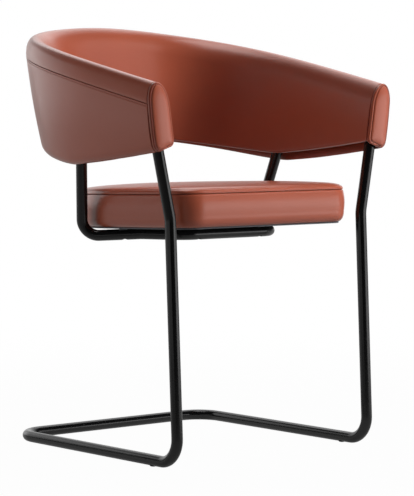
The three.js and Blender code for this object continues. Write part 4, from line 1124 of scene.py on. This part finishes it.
class CHAIR_OT_stage(bpy.types.Operator):
    """Sets the camera, the soft lights, the white room and the pale floor"""
    bl_idname = "chair.stage"
    bl_label = "Camera, lights and floor"

    def execute(self, context):
        settings = context.scene.chair_stage
        self.camera(context)
        self.world(context, settings.sky)
        for name, setting, *rest in LAMPS:
            self.lamp(name, getattr(settings, setting), *rest)
        self.floor(settings.floor)
        return {"FINISHED"}

    def camera(self, context):
        data = bpy.data.cameras.new("camera")
        data.sensor_width, data.lens = CAMERA_SENSOR, CAMERA_LENS
        data.clip_start, data.clip_end = CAMERA_CLIP
        camera = bpy.data.objects.new("camera", data)
        camera.location = CAMERA_PLACE
        camera.rotation_mode = "QUATERNION"
        camera.rotation_quaternion = Vector(CAMERA_WAY).to_track_quat("-Z", "Y")
        context.scene.collection.objects.link(camera)
        context.scene.camera = camera
        context.scene.view_settings.view_transform = "Standard"

    def world(self, context, strength):
        world = bpy.data.worlds.new("white_room")
        context.scene.world = world
        world.use_nodes = True
        nodes, links = world.node_tree.nodes, world.node_tree.links
        nodes.clear()
        out = nodes.new("ShaderNodeOutputWorld")
        room, seen = nodes.new("ShaderNodeBackground"), nodes.new("ShaderNodeBackground")
        room.inputs["Color"].default_value = (1, 1, 1, 1)
        room.inputs["Strength"].default_value = strength
        seen.inputs["Color"].default_value = (1, 1, 1, 1)
        blend = nodes.new("ShaderNodeMixShader")
        links.new(self.backdrop_share(nodes, links), blend.inputs[0])
        links.new(room.outputs[0], blend.inputs[1])
        links.new(seen.outputs[0], blend.inputs[2])
        links.new(blend.outputs[0], out.inputs[0])

    def backdrop_share(self, nodes, links):
        """One for what the camera sees, and for gloss and glass towards the backdrop behind the chair."""
        path = nodes.new("ShaderNodeLightPath")
        place = nodes.new("ShaderNodeTexCoord")
        towards = nodes.new("ShaderNodeVectorMath")
        towards.operation = "DOT_PRODUCT"
        towards.inputs[1].default_value = BACKDROP_WAY
        links.new(place.outputs["Generated"], towards.inputs[0])
        behind = nodes.new("ShaderNodeMapRange")
        behind.interpolation_type = "SMOOTHSTEP"
        behind.inputs["From Min"].default_value = BACKDROP_SPAN[0]
        behind.inputs["From Max"].default_value = BACKDROP_SPAN[1]
        links.new(towards.outputs["Value"], behind.inputs["Value"])

        def join(operation, first, second):
            node = nodes.new("ShaderNodeMath")
            node.operation = operation
            links.new(first, node.inputs[0])
            links.new(second, node.inputs[1])
            return node.outputs[0]

        shiny = join("MAXIMUM", path.outputs["Is Glossy Ray"], path.outputs["Is Transmission Ray"])
        return join("MAXIMUM", path.outputs["Is Camera Ray"], join("MULTIPLY", shiny, behind.outputs[0]))

    def lamp(self, name, power, at, size, mirrored, spread):
        """A rectangle of light aimed at the chair, which gloss, dull faces or both show."""
        data = bpy.data.lights.new(name, "AREA")
        data.shape, data.energy = "RECTANGLE", power
        data.size, data.size_y = size
        lamp = bpy.data.objects.new(name, data)
        lamp.location = at
        lamp.visible_glossy, lamp.visible_diffuse = mirrored, spread
        lamp.rotation_mode = "QUATERNION"
        lamp.rotation_quaternion = (Vector(LAMP_TARGET) - Vector(at)).to_track_quat("-Z", "Y")
        bpy.context.scene.collection.objects.link(lamp)

    def floor(self, colour):
        """A pale floor that glows white towards the camera and in shiny surfaces."""
        f = Finish("pale_floor", **{"Roughness": 0.8, "Specular IOR Level": 0.1})
        shade = f.noise(3.0, 2.0, 0.5)
        tone = f.mix(f.span(shade, 0.3, 0.7), (*(c * 0.985 for c in colour[:3]), 1.0), (*colour[:3], 1.0))
        f.give(f.shader, {"Base Color": tone})
        path = f.add("ShaderNodeLightPath")
        glow = f.add("ShaderNodeEmission")
        away = f.add("ShaderNodeVectorMath", operation="LENGTH")
        f.give(away, {0: f.place})
        share = f.span(away.outputs["Value"], 0.5, 2.2, 0.978, 1.0)
        towards = f.add("ShaderNodeVectorMath", operation="DOT_PRODUCT")
        f.give(towards, {0: f.place, 1: BACKDROP_WAY})
        behind = f.span(towards.outputs["Value"], -1.3, 0.4)
        shiny = f.math("MAXIMUM", path.outputs["Is Glossy Ray"], path.outputs["Is Transmission Ray"])
        shiny = f.math("MULTIPLY", f.math("MULTIPLY", shiny, behind), 0.45)
        seen = f.math("MULTIPLY", f.math("MAXIMUM", path.outputs["Is Camera Ray"], shiny), share)
        blend = f.add("ShaderNodeMixShader")
        f.give(blend, {0: seen, 1: f.shader.outputs[0], 2: glow.outputs[0]})
        out = next(n for n in f.tree.nodes if n.type == "OUTPUT_MATERIAL")
        f.give(out, {0: blend.outputs[0]})
        corners = [(x * FLOOR_REACH, y * FLOOR_REACH, 0) for x, y in ((-1, -1), (1, -1), (1, 1), (-1, 1))]
        new_object("floor", corners, [(0, 1, 2, 3)], f.material, smooth=False)


class CHAIR_OT_tubes(bpy.types.Operator):
    """Bends the two smooth steel tubes of the frame"""
    bl_idname = "chair.tubes"
    bl_label = "Steel tubes"

    def execute(self, context):
        diameter = context.scene.chair_sizes.tube / MM
        coat = finish("black_powder_coat")
        frame_tube = bent_tube("frame_tube", FRAME_ROUTE, FRAME_RADII, diameter, coat)
        under = bent_tube("under_seat_tube", SEAT_ROUTE, SEAT_RADII, diameter, coat)
        stems = [
            rod((*glide_place(node), STEM_HOLE_START), (0, 0, 1), STEM_HOLE, STEM_HOLE_TOP - STEM_HOLE_START)
            for node in nodes_named("floor_glide_")
        ]
        carve(frame_tube, stems)
        up, holes = screw_way(), []
        for node in nodes_named("seat_screw_"):
            middle = screw_place(node)
            axis = middle + up * (SEAT_ROUTE[2][2] - middle.z)
            holes += [rod(axis, up, SCREW_HOLE, HOLE_REACH), rod(axis, -up, ACCESS_HOLE, HOLE_REACH)]
        carve(under, holes)
        for tube, node in ((frame_tube, "base_tube"), (under, "seat_tube")):
            sharpen(tube)
            finish_piece(tube, "black_tube", node)
        return {"FINISHED"}


class CHAIR_OT_feet(bpy.types.Operator):
    """Turns the nylon glides under the floor frame"""
    bl_idname = "chair.feet"
    bl_label = "Floor glides"

    def execute(self, context):
        for node in nodes_named("floor_glide_"):
            x, y = glide_place(node)
            name = node.replace("floor_glide", "glide")
            glide = turned(name, GLIDE_PROFILE, (x, y, 0), (0, 0, 1), finish("black_nylon"))
            along = (0, 1, 0) if "front" in node else (1, 0, 0)
            start = Vector((x, y, FRAME_ROUTE[2][2])) - Vector(along) * HOLE_REACH
            carve(glide, [rod(start, along, FRAME_ROUTE[2][2] - GLIDE_SOLE, 2 * HOLE_REACH)])
            stem = rod((x, y, STEM_START), (0, 0, 1), STEM_RADIUS, STEM_REACH)
            join = glide.modifiers.new("stem", "BOOLEAN")
            join.operation, join.solver, join.object = "UNION", "EXACT", stem
            apply_modifiers(glide)
            bpy.data.objects.remove(stem)
            sharpen(glide)
            finish_piece(glide, "black_nylon", node)
        return {"FINISHED"}


class CHAIR_OT_back(bpy.types.Operator):
    """Upholsters the tub back: inside and outside leather, stitches, padding and lining"""
    bl_idname = "chair.back"
    bl_label = "Tub back"

    def execute(self, context):
        thickness = context.scene.chair_sizes.leather / MM
        hide = finish("terracotta_leather")
        inner = leather_band("inner_leather", inner_leather_path, "end", thickness, hide)
        finish_piece(inner, "leather", "inner_cover")
        outer = leather_band("outer_leather", outer_leather_path, "start", thickness, hide)
        finish_piece(outer, "leather", "outer_cover")
        band = Band(np.linspace(SHORT_OF_FRONT, 2 - SHORT_OF_FRONT, 1400))
        row = column(band, band.half, band.height - SEAM_DROP - STITCH_ROW)
        out = np.column_stack([band.side * band.normal[:, 0], band.normal[:, 1], 0 * band.half])
        sunk = band.points(row)[:, 0] - out * (GROOVE_DEPTH - 0.05)
        step = context.scene.chair_sizes.stitch / MM
        thread = stitches("back_stitches", sunk, out, step, finish("thread"))
        finish_piece(thread, "leather")
        padding_from("back_foam", "back_padding", BACK_PADDING_REACH)
        self.lining()
        return {"FINISHED"}

    def lining(self):
        """The black strip that closes the underside of the back and arms."""
        band = Band(np.linspace(SHORT_OF_FRONT, 2 - SHORT_OF_FRONT, 200))
        hem_in = band.half - 2 * (BACK_LEATHER + FIT_GAP) - SHELL_DEPTH - FIT_GAP
        low = band.lift + BACK_LEATHER + FIT_GAP
        path = straight(column(band, -band.half + LINING_SETBACK, low), column(band, hem_in, low), 12, skip=0)
        lining = loft("underside_lining", band.points(sheet_section(path, -1.0)), finish("black_lining"))
        finish_piece(lining, "black_cloth", "back_liner")


class CHAIR_OT_arm_pads(bpy.types.Operator):
    """Makes the crowned leather pads on the arm fronts"""
    bl_idname = "chair.arm_pads"
    bl_label = "Arm pads"

    def execute(self, context):
        step = context.scene.chair_sizes.stitch / MM
        for word, run in (("left", 0.0), ("right", 2.0)):
            band = Band([run])
            rings = np.array(pad_rings(band))
            pad = loft(f"arm_pad_leather_{word}", rings, finish("terracotta_leather"))
            # Painted shade on the pad's border, along its stitched valley and on its outer side
            seam_shade = np.zeros(rings.shape[:2])
            border = len(PAD_BORDER_SHADE)
            seam_shade[:border] = np.array(PAD_BORDER_SHADE)[:, None]
            valley = len(rings) - len(PAD_CROWN_SHARES) - len(PAD_VALLEY_INSETS)
            row = valley + PAD_VALLEY_INSETS.index(PAD_ROW)
            seam_shade[row - 2:row + 3] = np.array(PAD_VALLEY_SHADE)[:, None]
            outer = smoothstep(pad_outline(band)[:, 0], -PAD_OUTER_SHADE_REACH, PAD_OUTER_SHADE_REACH)
            seam_shade[border:row] = np.maximum(seam_shade[border:row], outer * PAD_OUTER_SHADE)
            set_marks(pad, "seam", seam_shade)
            finish_piece(pad, "leather", f"arm_pad_{word}")
            line = rings[row]
            out = np.tile((0.0, -1.0, 0.0), (len(line), 1))
            thread = stitches(f"arm_pad_stitches_{word}", line, out, step, finish("thread"), closed=True)
            finish_piece(thread, "leather")
        return {"FINISHED"}


class CHAIR_OT_seat(bpy.types.Operator):
    """Makes the seat: side and top leather, padding, and the cloth and panel beneath"""
    bl_idname = "chair.seat"
    bl_label = "Seat"

    def execute(self, context):
        hide = finish("terracotta_leather")
        step = context.scene.chair_sizes.stitch / MM
        self.side(hide, step)
        self.top(hide, step)
        padding_from("seat_foam", "seat_padding", SEAT_PADDING_REACH)
        self.lining()
        self.panel()
        return {"FINISHED"}

    def side(self, hide, step):
        """The leather round the seat's side, with a seam at each rear corner."""
        profile = seat_side_profile()
        section = sheet_section(profile[None], SEAT_LEATHER)[0]
        pull = turn_in(TO_REAR_SEAM, REAR_SEAM_TURN) + groove(TO_REAR_SEAM - REAR_SEAM_ROW) * 0.7
        rings = []
        for k, (inset, height) in enumerate(section):
            facing = smoothstep(height, 3.0, 12.0) if k < len(profile) else 0.0
            rings.append(to_chair(seat_ring(inset + pull * facing, height)))
        side = loft("seat_side_leather", rings, hide, closed_run=True)
        # Painted shade along the top seam and down the rear seams
        length = path_length(profile[None])[0]
        to_seam = np.concatenate([length[-1] - length, np.full(len(section) - len(profile), 50.0)])
        near = np.minimum(to_seam[:, None], TO_REAR_SEAM[None] + 0.4)
        set_marks(side, "seam", np.exp(-near / 0.8))
        finish_piece(side, "leather", "seat_side_cover")
        self.rear_stitches(step)

    def rear_stitches(self, step):
        """Two rows of stitches down each rear seam of the seat's side."""
        seams = np.nonzero(TO_REAR_SEAM == 0)[0]
        profile = seat_side_profile()
        keep = profile[:, 1] > 5.0
        for seam, word in zip(seams, ("left", "right")):
            for offset, place in ((-1, "front"), (1, "rear")):
                along = np.array([-OUTWARD[seam][1], OUTWARD[seam][0]])
                here = OUTLINE[seam] + offset * REAR_SEAM_ROW * along
                line = [(*(here - OUTWARD[seam] * (inset + 0.25)), height) for inset, height in profile[keep]]
                out = np.tile((*OUTWARD[seam], 0.0), (len(line), 1))
                name = f"seat_side_stitches_{word}_{place}"
                finish_piece(stitches(name, to_chair(line), out, step, finish("thread")), "leather")

    def top(self, hide, step):
        """The crowned leather on top, with one row of stitches inside its seam."""
        upper = [seat_ring(SEAM_DRAW + inset, SEAM_HEIGHT + rise) for inset, rise in SEAT_TOP_EDGE]
        for share in SEAT_TOP_SHARES:
            sink = float(groove((share - SEAT_TOP_ROW) * SEAT_TOP_REACH * 1.35))
            upper.append(crown_ring(share, SEAM_DRAW + 0.6 * sink, SEAM_HEIGHT - sink * 0.8))
        inside = [
            to_chair(crown_ring(share, SEAM_DRAW + 1.3, SEAM_HEIGHT - SEAT_LEATHER))
            for share in SEAT_TOP_SHARES[4:]
        ]
        outside = np.array([to_chair(r) for r in upper[::-1]])
        rings = np.concatenate([outside, inside])
        top = loft("seat_top_leather", rings, hide)
        # Painted shade on the rings at the top seam
        seam_shade = np.zeros(rings.shape[:2])
        last = len(outside)
        seam_shade[last - len(SEAT_TOP_SHADE):last] = np.array(SEAT_TOP_SHADE)[:, None]
        set_marks(top, "seam", seam_shade)
        finish_piece(top, "leather", "seat_top_cover")
        line = outside[len(SEAT_TOP_SHARES) - 1 - SEAT_TOP_SHARES.index(SEAT_TOP_ROW)]
        out = line - to_chair((0, SEAT_MIDDLE, SEAM_HEIGHT - 80))
        thread = stitches("seat_top_stitches", line, out, step, finish("thread"), closed=True)
        finish_piece(thread, "leather")

    def panel(self):
        """The black moulded panel that closes the seat's underside, drilled for the seat screws."""
        low, high = -FIT_GAP - PANEL_THICKNESS, -FIT_GAP
        steps = [
            (CAP_INSET, low), (PANEL_INSET + PANEL_ROUND, low),
            (PANEL_INSET + PANEL_BEVEL, low + PANEL_BEVEL),
            (PANEL_INSET, low + PANEL_ROUND), (PANEL_INSET, high), (CAP_INSET, high),
        ]
        panel = loft("seat_panel", [to_chair(seat_ring(*step)) for step in steps], finish("black_nylon"))
        up = screw_way()
        starts = [screw_place(node) - up * HOLE_REACH for node in nodes_named("seat_screw_")]
        carve(panel, [rod(start, up, SCREW_HOLE, 2 * HOLE_REACH) for start in starts])
        sharpen(panel)
        finish_piece(panel, "black_nylon", "seat_underside_panel")

    def lining(self):
        """The black cloth stretched under the seat board, inside the leather's fold-under."""
        edge = FLANGE_WIDTH + FIT_GAP
        below = [(edge + CAP_INSET, -0.3), (edge + 12, -0.1), (edge + 0.3, 0.0), (edge, 0.3)]
        above = [(edge, CLOTH_THICKNESS), (CAP_INSET, CLOTH_THICKNESS - 0.3)]
        rings = [to_chair(seat_ring(*step)) for step in below + above]
        lining = loft("seat_lining", rings, finish("black_lining"))
        sharpen(lining)
        finish_piece(lining, "black_cloth", "seat_dust_cloth")


class CHAIR_OT_hidden(bpy.types.Operator):
    """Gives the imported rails, spigots, blocks, boards, nuts, screws and saddles their finishes"""
    bl_idname = "chair.hidden"
    bl_label = "Inner parts"

    def execute(self, context):
        looks = {
            "arm_rail_": "bare_steel", "front_spigot_": "bare_steel", "rear_spigot_": "bare_steel",
            "block_screw_": "bare_steel", "seat_nut_": "bare_steel", "seat_screw_": "bare_steel",
            "rail_block_": "birch_plywood", "back_plywood": "birch_plywood", "seat_board": "birch_plywood",
            "seat_saddle_": "black_nylon",
        }
        for start, look in looks.items():
            for obj in (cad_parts[name] for name in nodes_named(start)):
                obj.data.materials.clear()
                obj.data.materials.append(finish(look))
        return {"FINISHED"}


class CHAIR_PT_panel(bpy.types.Panel):
    """Lists the chair's sizes, colours and building steps"""
    bl_idname = "CHAIR_PT_panel"
    bl_label = "Cantilever chair"
    bl_space_type = "VIEW_3D"
    bl_region_type = "UI"
    bl_category = "Chair"

    def draw(self, context):
        scene, layout = context.scene, self.layout
        for group in (scene.chair_sizes, scene.chair_colours, scene.chair_stage):
            box = layout.box()
            for key in group.bl_rna.properties.keys():
                if key not in ("rna_type", "name"):
                    box.prop(group, key)
        for kind in OPERATORS:
            layout.operator(kind.bl_idname)


OPERATORS = (
    CHAIR_OT_stage, CHAIR_OT_tubes, CHAIR_OT_feet, CHAIR_OT_back, CHAIR_OT_arm_pads,
    CHAIR_OT_seat, CHAIR_OT_hidden,
)
GROUPS = {"chair_sizes": ChairSizes, "chair_colours": ChairColours, "chair_stage": ChairStage}


def register():
    for kind in (*GROUPS.values(), *OPERATORS, CHAIR_PT_panel):
        bpy.utils.register_class(kind)
    for name, group in GROUPS.items():
        setattr(bpy.types.Scene, name, bpy.props.PointerProperty(type=group))


def unregister():
    for name in GROUPS:
        delattr(bpy.types.Scene, name)
    for kind in reversed((*GROUPS.values(), *OPERATORS, CHAIR_PT_panel)):
        bpy.utils.unregister_class(kind)


def main():
    """Builds every piece in order."""
    register()
    for kind in OPERATORS:
        group, _, step = kind.bl_idname.partition(".")
        getattr(getattr(bpy.ops, group), step)()


if __name__ == "__main__":
    main()
